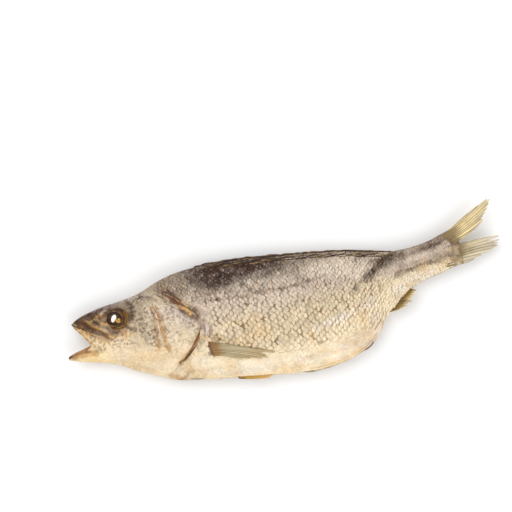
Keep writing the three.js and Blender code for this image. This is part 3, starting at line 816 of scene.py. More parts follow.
@dataclass(frozen=True)
class Finish:
    """A surface, coloured by its piece and roughened by a fine pattern.

    Attributes:
        name: What it is called in the scene.
        roughness: Average roughness.
        uneven: How far the roughness wanders.
        mottle: How far the colour wanders.
        mottle_mm: How large the colour's flecks are.
        bump_mm: Height of the fine relief.
        grain_mm: Its size.
        coat: Share of a clear, smooth film on top, such as dried oil or a cornea.
        stretch: How much longer than wide the relief is along the fish.
        index: Index of refraction.
        fleck_mm: Size of the dark pigment flecks, which each piece has more or fewer of.
        specular: Strength of the sheen; 0.5 is that of fresh horn, and salt and dried slime dull it.
        paints_scale_shade_and_glint: Whether scales get painted shade in the gaps and painted glints.
    """

    name: str
    roughness: float
    uneven: float
    mottle: float
    mottle_mm: float
    bump_mm: float
    grain_mm: float
    coat: float = 0.0
    stretch: float = 1.0
    index: float = 1.5
    fleck_mm: float = 1.5
    specular: float = 0.2
    paints_scale_shade_and_glint: bool = False

    def material(self) -> bpy.types.Material:
        """Builds it.

        Returns:
            The material, made once for each finish.
        """
        if self.name in bpy.data.materials:
            return bpy.data.materials[self.name]
        made = bpy.data.materials.new(self.name)
        made.use_nodes = True
        tree = made.node_tree
        tree.nodes.clear()
        output = add_node(tree, "ShaderNodeOutputMaterial")
        place = add_node(tree, "ShaderNodeTexCoord").outputs["Object"]
        laid = add_node(tree, "ShaderNodeMapping",
                        {"Vector": place, "Scale": (1 / self.stretch, 1, 1)}).outputs[0]
        patterns = ((laid, 3.0, self.mottle_mm, 0.6), (place, 2.0, self.fleck_mm, 0.6),
                    (laid, 4.0, self.grain_mm, 0.55))
        mottle, dots, fine = (
            add_node(tree, "ShaderNodeTexNoise",
                     {"Vector": where, "Detail": detail, "Scale": 1 / (size * MM), "Roughness": rough})
            .outputs["Fac"] for where, detail, size, rough in patterns)
        ranges = ((mottle, 1 - self.mottle, 1 + self.mottle * 0.7),
                  (fine, self.roughness - self.uneven, self.roughness + self.uneven))
        mottled, rough = (
            add_node(tree, "ShaderNodeMapRange",
                     {"Value": noise, "From Min": 0.3, "From Max": 0.7, "To Min": low, "To Max": high})
            .outputs[0] for noise, low, high in ranges)
        tint = add_node(tree, "ShaderNodeVertexColor", layer_name="Tint")
        plain = add_node(tree, "ShaderNodeVectorMath", {0: tint.outputs["Color"], 1: mottled},
                         operation="MULTIPLY")
        dotted = add_node(tree, "ShaderNodeMapRange", {"Value": dots, "From Min": 0.43, "From Max": 0.61})
        shown = add_node(tree, "ShaderNodeMath", {0: dotted.outputs[0], 1: tint.outputs["Alpha"]},
                         operation="MULTIPLY")
        colour = mixed(tree, shown.outputs[0], plain.outputs[0], FLECK_SHADE, "MULTIPLY")
        # Scales get painted shade in the gaps between them and painted glints.
        if self.paints_scale_shade_and_glint:
            colour = self.painted_scale_shade_and_glint(tree, colour, dots)
        bump = add_node(tree, "ShaderNodeBump",
                        {"Height": fine, "Strength": 1.0, "Distance": self.bump_mm * MM})
        surface = add_node(tree, "ShaderNodeBsdfPrincipled", {
            "Base Color": colour, "Specular IOR Level": self.specular, "Roughness": rough,
            "Normal": bump.outputs[0], "IOR": self.index, "Coat Weight": self.coat, "Coat Roughness": 0.12})
        tree.links.new(surface.outputs[0], output.inputs["Surface"])
        return made

    @staticmethod
    def painted_scale_shade_and_glint(tree: bpy.types.NodeTree, colour: bpy.types.NodeSocket,
                 noise: bpy.types.NodeSocket) -> bpy.types.NodeSocket:
        """Draws painted shade in the gap in front of a scale's bare part, and a painted glint near its free
        edge.

        Args:
            tree: The material's nodes.
            colour: The scale's colour.
            noise: What breaks the painted shade and the painted glint up.

        Returns:
            The colour with the painted shade and glint.
        """
        edge = add_node(tree, "ShaderNodeVertexColor", layer_name="Edge")
        parts = add_node(tree, "ShaderNodeSeparateColor", {0: edge.outputs["Color"]})
        # Painted shade in the gap in front of the scale's bare part, with a wavy edge.
        wavy = add_node(tree, "ShaderNodeMath", {0: noise, 1: 0.16, 2: -0.08}, operation="MULTIPLY_ADD")
        along = add_node(tree, "ShaderNodeMath", {0: parts.outputs[0], 1: wavy.outputs[0]})
        gap = add_node(tree, "ShaderNodeMapRange", {
            "Value": along.outputs[0], "From Min": 0.51, "From Max": 0.62, "To Min": 1.0, "To Max": 0.0})
        gap_shade_share = add_node(tree, "ShaderNodeMath", {0: gap.outputs[0], 1: parts.outputs[1]},
                             operation="MULTIPLY")
        # A painted glint near the scale's free edge.
        rim = add_node(tree, "ShaderNodeMapRange",
                       {"Value": edge.outputs["Alpha"], "From Min": 0.7, "From Max": 0.92})
        glint_share = add_node(tree, "ShaderNodeMath", {0: rim.outputs[0], 1: parts.outputs[2]},
                             operation="MULTIPLY")
        shaded = mixed(tree, gap_shade_share.outputs[0], colour, GAP_SHADE, "MULTIPLY")
        # The painted glint is pale silver.
        return mixed(tree, glint_share.outputs[0], shaded, (*linear(Tone.SILVER), 1.0), "MIX")


FLECK_SHADE = (0.42, 0.37, 0.33, 1.0)  # what a pigment fleck leaves of the colour
GAP_SHADE = (0.36, 0.29, 0.23, 1.0)  # what the painted shade in the gap in front of a scale leaves of its colour


# Dried fish skin, air-dried with a film of its own oil: matt with a dull sheen, flecked with pigment cells.
# Scales are horn-like and a little glossier. Head plates are skin shrunk onto bone. Fins are dry horn rays in
# a parchment web. The gill tissue and the mouth stay moist and glisten. The eye has dried to amber behind a
# clear cornea. Grain is drawn at 0.3 to 1 mm, the size of the real creases, and flecks at 1.5 to 2.3 mm, the
# size of the clusters of pigment spots, because the single spots are too fine to show.
FINISHES = {
    Look.SKIN: Finish("dried skin", 0.46, 0.12, 0.17, 1.1, 0.3, 0.8, fleck_mm=2.3),
    Look.SCALE: Finish("dried scales", 0.4, 0.12, 0.24, 0.8, 0.07, 0.35, paints_scale_shade_and_glint=True),
    Look.BONE: Finish("skin on bone", 0.44, 0.12, 0.16, 0.5, 0.16, 0.6, fleck_mm=2.3),
    Look.FIN: Finish("fin rays", 0.48, 0.1, 0.12, 0.6, 0.08, 0.3, stretch=5),
    Look.MOIST: Finish("moist tissue", 0.26, 0.1, 0.22, 1.2, 0.25, 1.0, coat=0.5),
    Look.EYE: Finish("dried eye", 0.34, 0.08, 0.2, 0.6, 0.2, 0.8, coat=0.1, index=1.38),
    Look.LENS: Finish("clouded lens, painted highlight", 0.12, 0.04, 0.04, 0.8, 0.02, 0.6, coat=1.0, index=1.42),
}


def add_node(tree: bpy.types.NodeTree, kind: str, inputs: dict | None = None,
             **settings: object) -> bpy.types.Node:
    """Adds a node with its settings and links.

    Args:
        tree: Where.
        kind: The node's type.
        inputs: What each input is linked to or set to, by name or number.
        **settings: The node's own properties.

    Returns:
        The node.
    """
    node = tree.nodes.new(kind)
    for name, value in settings.items():
        setattr(node, name, value)
    for key, value in (inputs or {}).items():
        if isinstance(value, bpy.types.NodeSocket):
            tree.links.new(value, node.inputs[key])
        else:
            node.inputs[key].default_value = value
    return node


def mixed(tree: bpy.types.NodeTree, share: bpy.types.NodeSocket, base: bpy.types.NodeSocket,
          other: tuple[float, ...], way: str) -> bpy.types.NodeSocket:
    """Adds a node that blends a fixed colour into a colour.

    Args:
        tree: Where.
        share: How much of it is blended in.
        base: The colour that is changed.
        other: The fixed colour.
        way: How they are blended, as the program names it.

    Returns:
        The blended colour.
    """
    node = add_node(tree, "ShaderNodeMix", {0: share, 6: base, 7: other}, data_type="RGBA", blend_type=way)
    return node.outputs[2]


@dataclass
class Surface:
    """Points, faces and colours of a piece before it is placed.

    Attributes:
        points: Places in the fish's frame, in mm.
        faces: Each face's points, counter-clockwise from outside.
        tints: Linear colours, one a point.
        corners: Where each face's corners lie on the baked picture, or none when they are not laid out here.
    """

    points: Array
    faces: Faces
    tints: Array
    corners: Array | None = None

    @classmethod
    def joined(cls, parts: Sequence["Surface"]) -> "Surface":
        """Puts surfaces into one.

        Args:
            parts: What is joined; none of them laid out.

        Returns:
            The one surface.
        """
        faces: Faces = []
        count = 0
        for part in parts:
            faces += [tuple(i + count for i in face) for face in part.faces]
            count += len(part.points)
        return cls(np.concatenate([p.points for p in parts]), faces, np.concatenate([p.tints for p in parts]))

    def facing_out(self) -> "Surface":
        """Turns every face round if the surface is inside out.

        Returns:
            The same surface.
        """
        fans = np.array([(face[0], b, c) for face in self.faces for b, c in zip(face[1:], face[2:])])
        a, b, c = np.moveaxis((self.points - self.points.mean(0))[fans], 1, 0)
        if np.sum(a * np.cross(b, c)) < 0:
            self.faces = [face[::-1] for face in self.faces]
        return self

    def made(self, name: str) -> bpy.types.Object:
        """Turns it into an object in the row's frame, in metres.

        Args:
            name: The object's name.

        Returns:
            The object.
        """
        mesh = bpy.data.meshes.new(name)
        mesh.from_pydata(((self.points + ROW_SHIFT) * MM).tolist(), [], self.faces)
        if self.corners is not None:
            laid = mesh.uv_layers.new(name="OFBake")
            laid.data.foreach_set("uv", self.corners.astype(np.float32).ravel())
        return linked(name, mesh)


def linked(name: str, data: bpy.types.ID) -> bpy.types.Object:
    """Adds an object with its mesh, lamp or camera to the scene.

    Args:
        name: The object's name.
        data: What it holds.

    Returns:
        The object.
    """
    made = bpy.data.objects.new(name, data)
    bpy.context.scene.collection.objects.link(made)
    return made


def placed(name: str, surface: Surface, look: Look, flecks: Array | float = 0.1) -> bpy.types.Object:
    """Makes a piece of the fish out of a surface, and lets it ride on the body.

    Args:
        name: The piece's name.
        surface: Its shape and colours.
        look: Its finish.
        flecks: How densely it is flecked with pigment, one value or one a point.

    Returns:
        The object.
    """
    surface.points[..., 2] = np.maximum(surface.points[..., 2], -REST_DEPTH)  # nothing sinks into the floor
    piece = surface.made(name)
    dressed(piece, look, surface.tints, flecks)
    return piece


def dressed(piece: bpy.types.Object, look: Look, tints: Array, flecks: Array | float) -> None:
    """Gives a piece its colours and its finish, and lets it ride on the body.

    Args:
        piece: The object, in its place.
        look: Its finish.
        tints: Linear colours, one a point.
        flecks: How densely it is flecked, one value or one a point.
    """
    shares = np.broadcast_to(flecks, len(tints))
    stored(piece, "Tint", np.concatenate([tints, shares[:, None]], axis=1))
    piece.data.materials.append(FINISHES[look].material())
    piece.data.shade_smooth()
    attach(piece, "root")


def stored(piece: bpy.types.Object, name: str, values: Array) -> None:
    """Stores four values from 0 to 1 on each of a piece's points."""
    layer = piece.data.color_attributes.new(name, "FLOAT_COLOR", "POINT")
    layer.data.foreach_set("color", np.clip(values, 0, 1).astype(np.float32).ravel())


def grid_faces(rows: int, columns: int, first: int = 0) -> Faces:
    """Lists the faces of a grid of points, row by row.

    Args:
        rows: How many rows of points there are.
        columns: How many points a row has.
        first: Number of the first point.

    Returns:
        The faces.
    """
    at = first + np.arange(rows * columns).reshape(rows, columns)
    quads = np.stack([at[:-1, :-1], at[1:, :-1], at[1:, 1:], at[:-1, 1:]], -1).reshape(-1, 4)
    return [tuple(q) for q in quads.tolist()]


def rim_of(rows: int, columns: int) -> NDArray[np.int64]:
    """Lists the points round the edge of a grid, in order."""
    at = np.arange(rows * columns).reshape(rows, columns)
    return np.concatenate([at[:, 0], at[-1, 1:], at[-2::-1, -1], at[0, -2:0:-1]])


def shell(upper: Array, lower: Array, tints: Array) -> Surface:
    """Closes two grids of points, one over the other, into one surface.

    Args:
        upper: Points of the outer face, as rows and columns.
        lower: Points of the inner face.
        tints: Colours of the outer face's points; the inner face takes the same.

    Returns:
        The closed surface.
    """
    rows, columns, _ = upper.shape
    count = rows * columns
    rim = rim_of(rows, columns)
    after = np.roll(rim, -1)
    faces = grid_faces(rows, columns)
    faces += [face[::-1] for face in grid_faces(rows, columns, count)]
    faces += [tuple(q) for q in np.stack([after, rim, rim + count, after + count], -1).tolist()]
    points = np.concatenate([upper.reshape(-1, 3), lower.reshape(-1, 3)])
    return Surface(points, faces, np.tile(tints.reshape(-1, 3), (2, 1))).facing_out()


def ringed(rings: Array, tints: Array) -> Surface:
    """Joins rings of points into a surface with a cap at either end.

    Args:
        rings: The points, ring by ring.
        tints: Their colours.

    Returns:
        The closed surface.
    """
    count, around, _ = rings.shape
    at = np.arange(count * around).reshape(count, around)
    after = np.roll(at, -1, axis=1)
    quads = np.stack([at[:-1], after[:-1], after[1:], at[1:]], -1).reshape(-1, 4)
    faces = [tuple(q) for q in quads.tolist()] + [tuple(at[0, ::-1].tolist()), tuple(at[-1].tolist())]
    return Surface(rings.reshape(-1, 3), faces, tints.reshape(-1, 3)).facing_out()


def tube(path: Array, radii: Array, tint: Array, around: int = 8, flat: float = 1.0) -> Surface:
    """Makes a round or flattened strand along a path, closed at both ends.

    Args:
        path: Points along its middle.
        radii: Its radius at each.
        tint: Its colour at each.
        around: How many sides it has.
        flat: Its thickness across the body as a share of its width.

    Returns:
        The strand.
    """
    along = unit(np.gradient(path, axis=0))
    across = unit(np.cross(along, (0, 0, 1)))
    turn = np.linspace(0, 2 * math.pi, around, endpoint=False)[None, :, None]
    wide = across[:, None] * np.cos(turn) + np.cross(across, along)[:, None] * np.sin(turn) * flat
    return ringed(path[:, None] + wide * radii[:, None, None], np.repeat(tint[:, None], around, axis=1))


@dataclass
class Hide:
    """The skin of the whole body, from the jaws to the tail stem, with the mouth and the belly cut open.

    Attributes:
        head_step: Distance between sections on the head.
        trunk_step: The same behind it.
        head_to: Where the head's fine sections end.
        per_flank: Points down each flank.
        gape: Outline of the open mouth.
        throat: Centre and half sizes of the hollow behind the mouth.
        cut: The belly cut's front, rear, depth and width.
    """

    head_step: float = 0.5
    trunk_step: float = 1.35
    head_to: float = -68.0
    per_flank: int = 98
    gape: Line = ((-206, 30), (-186.4, 21.4), (-180.4, 13.8), (-177, 8.5), (-173.7, 3.1), (-172.4, -0.2),
                  (-179.7, -2.8), (-188.3, -4.6), (-194.9, -6.7), (-206, -9))
    throat: tuple[float, ...] = (-171.0, 1.5, 17.0, 7.0, 6.0)
    cut: tuple[float, float, float, float] = (-96.0, 66.0, 7.0, 1.3)

    def build(self) -> bpy.types.Object:
        """Builds the skin.

        Returns:
            The piece, which stands for the CAD solid.
        """
        piece = self.closed().made("zander_skin")
        for cutter in (self.wedge(), self.hollow(), self.slit()):
            modifier = piece.modifiers.new("cut", "BOOLEAN")
            modifier.object = cutter
            modifier.operation = "DIFFERENCE"
            modifier.solver = "EXACT"
        graph = bpy.context.evaluated_depsgraph_get()
        piece.data = bpy.data.meshes.new_from_object(piece.evaluated_get(graph))
        piece.data.name = "zander_skin"
        for modifier in list(piece.modifiers):
            bpy.data.objects.remove(modifier.object)
            piece.modifiers.remove(modifier)
        dressed(piece, Look.SKIN, *self.tints(piece))
        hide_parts("zander")
        return piece

    def closed(self) -> Surface:
        """Makes the body before it is cut open.

        Returns:
            The surface, laid out for the baked picture.
        """
        head = np.arange(SHAPE.front, self.head_to, self.head_step)
        trunk = np.linspace(self.head_to, SHAPE.rear, int((SHAPE.rear - self.head_to) / self.trunk_step))
        even = np.linspace(0, 1, self.per_flank + 1)
        down = 0.45 * even + 0.55 * (1 - np.cos(math.pi * even)) / 2  # closer together at back and belly
        x, share = grid(np.concatenate([head, trunk]), down)
        y, bare = SHAPE.y_at(x, share), SHAPE.swell(x, share)
        left, right = (stacked(x, y, side * skinned(bare, x, y, side)) for side in Side)
        rings = np.concatenate([left[:, :-1], right[:, :0:-1]], axis=1)
        count, around, _ = rings.shape
        uv = np.stack(grid(np.linspace(0.02, 0.98, count), np.linspace(0.01, 0.93, around + 1)), -1)
        corners = np.stack([uv[:-1, :-1], uv[:-1, 1:], uv[1:, 1:], uv[1:, :-1]], 2).reshape(-1, 2)
        caps = np.repeat([(0.01, 0.95), (0.03, 0.95)], around, axis=0)
        surface = ringed(rings, np.ones_like(rings))
        surface.corners = np.concatenate([corners, caps])
        return surface

    @staticmethod
    def cutter(name: str, surface: Surface) -> bpy.types.Object:
        """Makes something to cut with, laid out in its own strip of the baked picture.

        Args:
            name: What it is called.
            surface: Its shape.

        Returns:
            The object.
        """
        spread = surface.points - surface.points.min(0)
        spread /= spread.max(0)
        order = [i for face in surface.faces for i in face]
        surface.corners = spread[order, :2] * (0.9, 0.04) + (0.05, 0.955)
        return surface.made(name)

    def wedge(self) -> bpy.types.Object:
        """Makes what cuts the open mouth, right through between the jaws.

        Returns:
            The cutter.
        """
        outline = Curve(self.gape).at(np.linspace(0, 1, 60))
        levels = np.array((-30.0, -7.0, -3.0, 0.0, 3.0, 7.0, 30.0))
        deeper = bell(levels, 0, 6)[:, None] * smooth(outline[:, 0], -184, -173)[None] * 3.0
        rings = stacked(outline[:, 0] + deeper, outline[:, 1], levels[:, None])
        return self.cutter("mouth_wedge", ringed(rings, np.ones_like(rings)))

    def hollow(self) -> bpy.types.Object:
        """Makes what cuts the hollow behind the mouth.

        Returns:
            The cutter.
        """
        x, y, length, height, half = self.throat
        turn = np.linspace(0, math.pi, 24)[1:-1]
        path = stacked(x - length * np.cos(turn), np.full(turn.size, y))
        egg = tube(path, height * np.sin(turn), np.ones_like(path), 24, half / height)
        return self.cutter("mouth_hollow", egg)

    def slit(self) -> bpy.types.Object:
        """Makes what cuts the belly open, a thin wavy wedge along the lower edge.

        Returns:
            The cutter.
        """
        front, rear, depth, width = self.cut
        x = np.linspace(front, rear, 90)
        deep = depth * np.sin(np.linspace(0.02, 0.98, 90) * math.pi) ** 0.4
        wave = 0.5 * np.sin(x / 9) + 0.25 * np.sin(x / 3.7)
        inner = stacked(x, SHAPE.belly(x) + deep + 0.2 + wave, wave)
        outer = stacked(x, SHAPE.belly(x) - 6.0, wave)
        middle = np.stack([inner, outer], 1)
        half = (0, 0, width / 2)
        return self.cutter("belly_cut", shell(middle + half, middle - half, np.ones_like(middle)))

    def tints(self, piece: bpy.types.Object) -> tuple[Array, Array]:
        """Colours the skin, and the mouth and belly lining where it is cut open.

        Args:
            piece: The cut body.

        Returns:
            Linear colours and flecks, one a point.
        """
        places = np.zeros(len(piece.data.vertices) * 3)
        piece.data.vertices.foreach_get("co", places)
        places = places.reshape(-1, 3) / MM - ROW_SHIFT
        x, y, z = places.T
        colour = np.zeros_like(places)
        inside = np.zeros(len(places))
        for side in Side:
            mine = z >= 0 if side == Side.LEFT else z < 0
            colour[mine] = PAINT.tint(x[mine], y[mine], side)
            inside[mine] = smooth(skin_height(x[mine], y[mine], side) - np.abs(z[mine]), 0.25, 0.7)
        # The skin under the scales is darker: the scale pockets' dark pigment and painted shade under the
        # scales.
        pocket_pigment_and_shade = smooth(scaled_share(x - 5, y), 0.5, 1.0) * smooth(y - scale_limit(x), 2, 14)
        colour = mix(colour, mix(colour * 0.72, Tone.BACK_BROWN, 0.12), pocket_pigment_and_shade)
        mouth = mix(Tone.MOUTH, Tone.MOIST, 0.4 + 0.4 * grain(places, 3, 21))
        deep = (y < SHAPE.back(x) - 3) & (y > SHAPE.belly(x) + 2) & (inside > 0.5) & (x < -140)
        colour = np.where(deep[:, None], mouth, colour)
        front, rear = self.cut[:2]
        lining = (inside > 0.5) & (x > front - 2) & (x < rear + 1) & (y < SHAPE.belly(x) + 9)
        return mix(colour, Tone.SLIT, 0.85 * lining), PAINT.flecks(x, y) * (1 - inside)


@dataclass
class ScaleCoat:
    """Overlapping scales in rows along a flank, each a thin shell of its own.

    Attributes:
        pitch: Distance from a scale to the next in its row.
        gaps: Distance between two rows near the back, and that low on the flank.
        fineness: How much shorter the scales near the back are than those low on the flank, as a share.
        narrowing: How the rows draw together towards the tail.
        rows: How many rows are laid out from the back down.
        overlap: A scale's length over the pitch.
        breadth: A scale's width over the distance between rows.
        round_off: How far the corners of its free edge fall back, as a share of its length.
        lift: Height of its free edge over the skin, for a pitch of full_pitch.
        thickness: Its thickness, for the same.
        full_pitch: The pitch of the largest scales.
        lost: Share of scales that have come off.
        cells: Points along and across each scale.
        shares: Shares from back to belly that lie evenly over the skin, for each station.
        stations: Where along the body the skin is measured.
        lengths: Length of the skin from back to belly there.
    """

    pitch: Profile = Profile(((-126, 4.6), (-90, 5.2), (-50, 6.0), (10, 5.8), (50, 5.2), (80, 4.5),
                              (100, 3.8), (120, 3.4), (158, 3.0)))
    gaps: tuple[float, float] = (1.95, 2.7)
    fineness: float = 0.3
    narrowing: Profile = Profile(((-126, 0.9), (-80, 1.0), (50, 1.0), (80, 0.86), (100, 0.74), (158, 0.6)))
    rows: int = 58
    overlap: float = 1.7
    breadth: float = 2.7
    round_off: float = 0.22
    lift: float = 0.46
    thickness: float = 0.16
    full_pitch: float = 6.0
    lost: float = 0.0
    cells: tuple[int, int] = (5, 5)
    shares: Array = field(init=False)
    stations: Array = field(init=False)
    lengths: Array = field(init=False)

    def __post_init__(self) -> None:
        """Measures the flank's skin from back to belly at many sections."""
        self.stations = np.linspace(-125, SHAPE.rear, 120)
        share = np.linspace(0, 1, 240)[None]
        x = self.stations[:, None]
        y, z = SHAPE.y_at(x, share), SHAPE.swell(x, share)
        steps = np.hypot(np.diff(y, axis=1), np.diff(z, axis=1))
        far = np.concatenate([np.zeros((len(x), 1)), np.cumsum(steps, axis=1)], axis=1)
        self.lengths = far[:, -1]
        even = np.linspace(0, 1, 120)
        self.shares = np.array([np.interp(even, row / row[-1], share[0]) for row in far])

    def on_skin(self, x: Array, way: Array, side: Side) -> Array:
        """Finds places on the skin by how far round from the back they are.

        Args:
            x: Where along the body.
            way: Share of the way over the skin from back to belly.
            side: The flank.

        Returns:
            The places.
        """
        first, second = self.stations[:2]
        fx = np.clip((x - first) / (second - first), 0, len(self.stations) - 1.001)
        fw = np.clip(way, 0, 1) * (self.shares.shape[1] - 1.001)
        i, j = fx.astype(int), fw.astype(int)
        a, b = fx - i, fw - j
        t = self.shares
        nearer = t[i, j] * (1 - a) + t[i + 1, j] * a
        further = t[i, j + 1] * (1 - a) + t[i + 1, j + 1] * a
        share = nearer * (1 - b) + further * b
        y = SHAPE.y_at(x, share)
        return stacked(x, y, side * skinned(SHAPE.swell(x, share), x, y, side))

    def whole(self, x: Array) -> Array:
        """Length of the skin from back to belly at a section."""
        return np.interp(x, self.stations, self.lengths)

    def centres(self, rng: np.random.Generator) -> tuple[Array, ...]:
        """Lays out the scales in rows that run along with the back.

        Args:
            rng: Where the small differences come from.

        Returns:
            For each scale, the x of its free edge, its way round from the back, the distance between rows
            there, that to the next scale in its row, its size as a share, how plainly it stands out from the
            skin, and how far others lie over its front.
        """
        x = np.linspace(-126, 160, 1200)
        count = np.concatenate([[0], np.cumsum(np.diff(x) / self.pitch(x[:-1]))])
        near, far = self.gaps
        down_share = np.arange(self.rows) / self.rows
        gaps = near + (far - near) * smooth(down_share, 0.25, 0.6)
        fine = 1 - self.fineness * np.where(down_share < 0.27, 1.0, 0.5 * (down_share < 0.37))
        found = []
        for row, down in enumerate(np.cumsum(gaps)):
            places = np.arange(0.5 * (row % 2), count[-1] / fine[row], 1.0)
            edge = np.interp((places + rng.normal(0, 0.08, places.size)) * fine[row], count, x)
            gap = gaps[row] * self.narrowing(edge)
            way = (down * self.narrowing(edge) + rng.normal(0, 0.22, edge.size)) / self.whole(edge)
            found.append(np.stack([edge, way, gap, self.pitch(edge) * fine[row]]))
        edge, way, gap, pitch = np.concatenate(found, axis=1)
        kept = way < 0.985
        edge, way, gap, pitch = edge[kept], way[kept], gap[kept], pitch[kept]
        y = self.on_skin(edge, way, Side.LEFT)[:, 1]
        cover = scaled_share(edge - 0.3 * self.pitch(edge), y) + rng.normal(0, 0.07, edge.size)
        kept = (cover > 0.42) & (rng.random(edge.size) > self.lost)
        plain = smooth(y - scale_limit(edge), -1, 9) * smooth(cover, 0.3, 0.9)
        plain *= 1 - 0.8 * smooth(edge, 146, 156)
        ahead = smooth(scaled_share(edge - 1.6 * self.pitch(edge), y), 0.5, 1)
        ahead *= 1 - 0.4 * smooth(edge, 70, 105)
        size = np.clip(0.6 + 0.45 * cover, 0.65, 1.05)
        return tuple(values[kept] for values in (edge, way, gap, pitch, size, plain, ahead))

    def build(self, side: Side) -> bpy.types.Object:
        """Builds a flank's scales.

        Args:
            side: The flank.

        Returns:
            The piece.
        """
        rng = np.random.default_rng(SEED + side)
        edge, way, gap, pitch, size, plain, ahead = self.centres(rng)
        count = edge.size
        na, nb = self.cells
        a, b = grid(np.linspace(0.25, 1, na) ** 0.9, np.linspace(-1, 1, nb))
        pitch = pitch * size * rng.normal(1, 0.07, count)
        whole = self.whole(edge)
        length = (self.overlap * pitch)[:, None, None]
        half = (gap * self.breadth * 0.5 * size)[:, None, None]
        turn = rng.normal(0, 0.1, count)[:, None, None]
        du = (a * (1 - self.round_off * np.abs(b) ** 2.4) - 1) * length
        dv = b * half * (0.8 + 0.2 * np.sin(math.pi * a**0.8))
        du, dv = du * np.cos(turn) - dv * np.sin(turn), dv * np.cos(turn) + du * np.sin(turn)
        x = edge[:, None, None] + du
        at_way = way[:, None, None] + dv / whole[:, None, None]
        base = self.on_skin(x, at_way, side)
        step = 0.6  # mm along the body, and percent of the way round, over which the skin's slope is read
        along = self.on_skin(x + step, at_way, side) - base
        down = self.on_skin(x, at_way + step / 100, side) - base
        out = unit(np.cross(along, down))
        out *= np.where(out[..., 2:] * side < 0, -1, 1)
        grown = (pitch / self.full_pitch * (0.35 + 0.65 * plain))[:, None, None]
        tilt = np.clip(rng.normal(1, 0.1, count), 0.85, 1.25)[:, None, None]
        rise = grown * (0.02 + self.lift * tilt * a**1.6 * (1 - 0.5 * b**2))
        top = (base + out * rise[..., None]).reshape(count, -1, 3)
        rim = rim_of(na, nb)
        deep = self.thickness * grown.reshape(-1, 1) + 0.05 + 0.25 * (1 - a.ravel()[rim])
        under = top[:, rim] - out.reshape(count, -1, 3)[:, rim] * deep[..., None]
        tints = self.tints(edge, base, a, rng, side)
        # Painted shade: the points under each scale's rim are darker than its top.
        tints = np.concatenate([tints, tints[:, rim] * 0.85], axis=1)
        surface = self.laid(np.concatenate([top, under], axis=1), tints, rim, side)
        piece = placed(f"scales_{side.label}", surface, Look.SCALE, 0.2)
        # Where each scale's painted shade and painted glint go, and how strong.
        edges = self.edges(tints[:, :1].mean(-1), plain, ahead, a, b, rng)
        stored(piece, "Edge", np.concatenate([edges, edges[:, rim]], axis=1).reshape(-1, 4))
        return piece

    def tints(self, edge: Array, base: Array, a: Array, rng: np.random.Generator, side: Side) -> Array:
        """Colours the scales.

        Args:
            edge: The x of each scale's free edge.
            base: The skin under each scale's points.
            a: Those points' way from front to rear.
            rng: Where the small differences come from.
            side: The flank.

        Returns:
            Linear colours, one a point of each scale's upper face.
        """
        count = edge.size
        middle = base[:, a.shape[0] // 2, a.shape[1] // 2]
        own = PAINT.tint(middle[:, 0], middle[:, 1], side)[:, None, None]
        colour = 0.6 * own + 0.4 * PAINT.tint(base[..., 0], base[..., 1], side)
        dark = 1 - smooth(own.mean((1, 2, 3)), 0.12, 0.5)
        shade = np.clip(1.1 - 0.19 * dark + rng.normal(0, 0.08, count) * (1 + 1.3 * dark), 0.6, 1.6)
        yellowed = np.clip(rng.normal(0, 0.08, count), 0, 0.2)[:, None, None]
        yellowed = yellowed * smooth(colour.mean(-1), 0.12, 0.4)
        colour = mix(colour * shade[:, None, None, None], Tone.TAN, yellowed)
        pale = np.clip(rng.normal(0, 0.17, count), 0, 0.4)[:, None, None]
        colour = mix(colour, Tone.LILAC, pale * (1 - smooth(colour.mean(-1), 0.1, 0.4)))
        return (colour * np.minimum(1, 0.93 / colour.max(-1))[..., None]).reshape(count, -1, 3)

    def edges(self, light: Array, plain: Array, ahead: Array, a: Array, b: Array,
              rng: np.random.Generator) -> Array:
        """Says where each scale's painted shade and painted glint are, and how strong.

        Args:
            light: How light each scale is.
            plain: How plainly each stands out from the skin.
            ahead: How far others lie over its front.
            a: The points' way from front to rear.
            b: And from side to side.
            rng: Where the small differences come from.

        Returns:
            For each point, its way back from the scales in front, the strength of the painted shade in the
            gap there, that of the painted glint, and its way to that glint.
        """
        count = plain.size
        dark = 1 - smooth(light[:, 0], 0.1, 0.4)
        # Strength of the painted shade in the gap in front of each scale.
        gap = np.clip(rng.normal(0.74, 0.28, count), 0.1, 1) * smooth(plain, 0.05, 0.5) * ahead
        # Strength of the painted glint, weaker on the dark back.
        spot = (0.48 - 0.1 * dark) * np.clip(rng.normal(0.5, 0.55, count), 0, 1.3) * plain
        off, thin = rng.normal(0.2, 0.4, (2, count))[:, :, None, None]
        beside = np.abs(2 / self.breadth - np.abs(b)) ** 2.4
        start = (1 - 0.5 / self.overlap - self.round_off * beside) / (1 - self.round_off * np.abs(b) ** 2.4)
        behind = 0.5 + a - start
        place = a - (0.4 + 2 * np.abs(thin)) * (b - off) ** 2 - 0.1 * np.abs(off)
        grids = np.broadcast_arrays(behind[None], gap[:, None, None], spot[:, None, None], place)
        return np.stack(grids, -1).reshape(count, -1, 4)

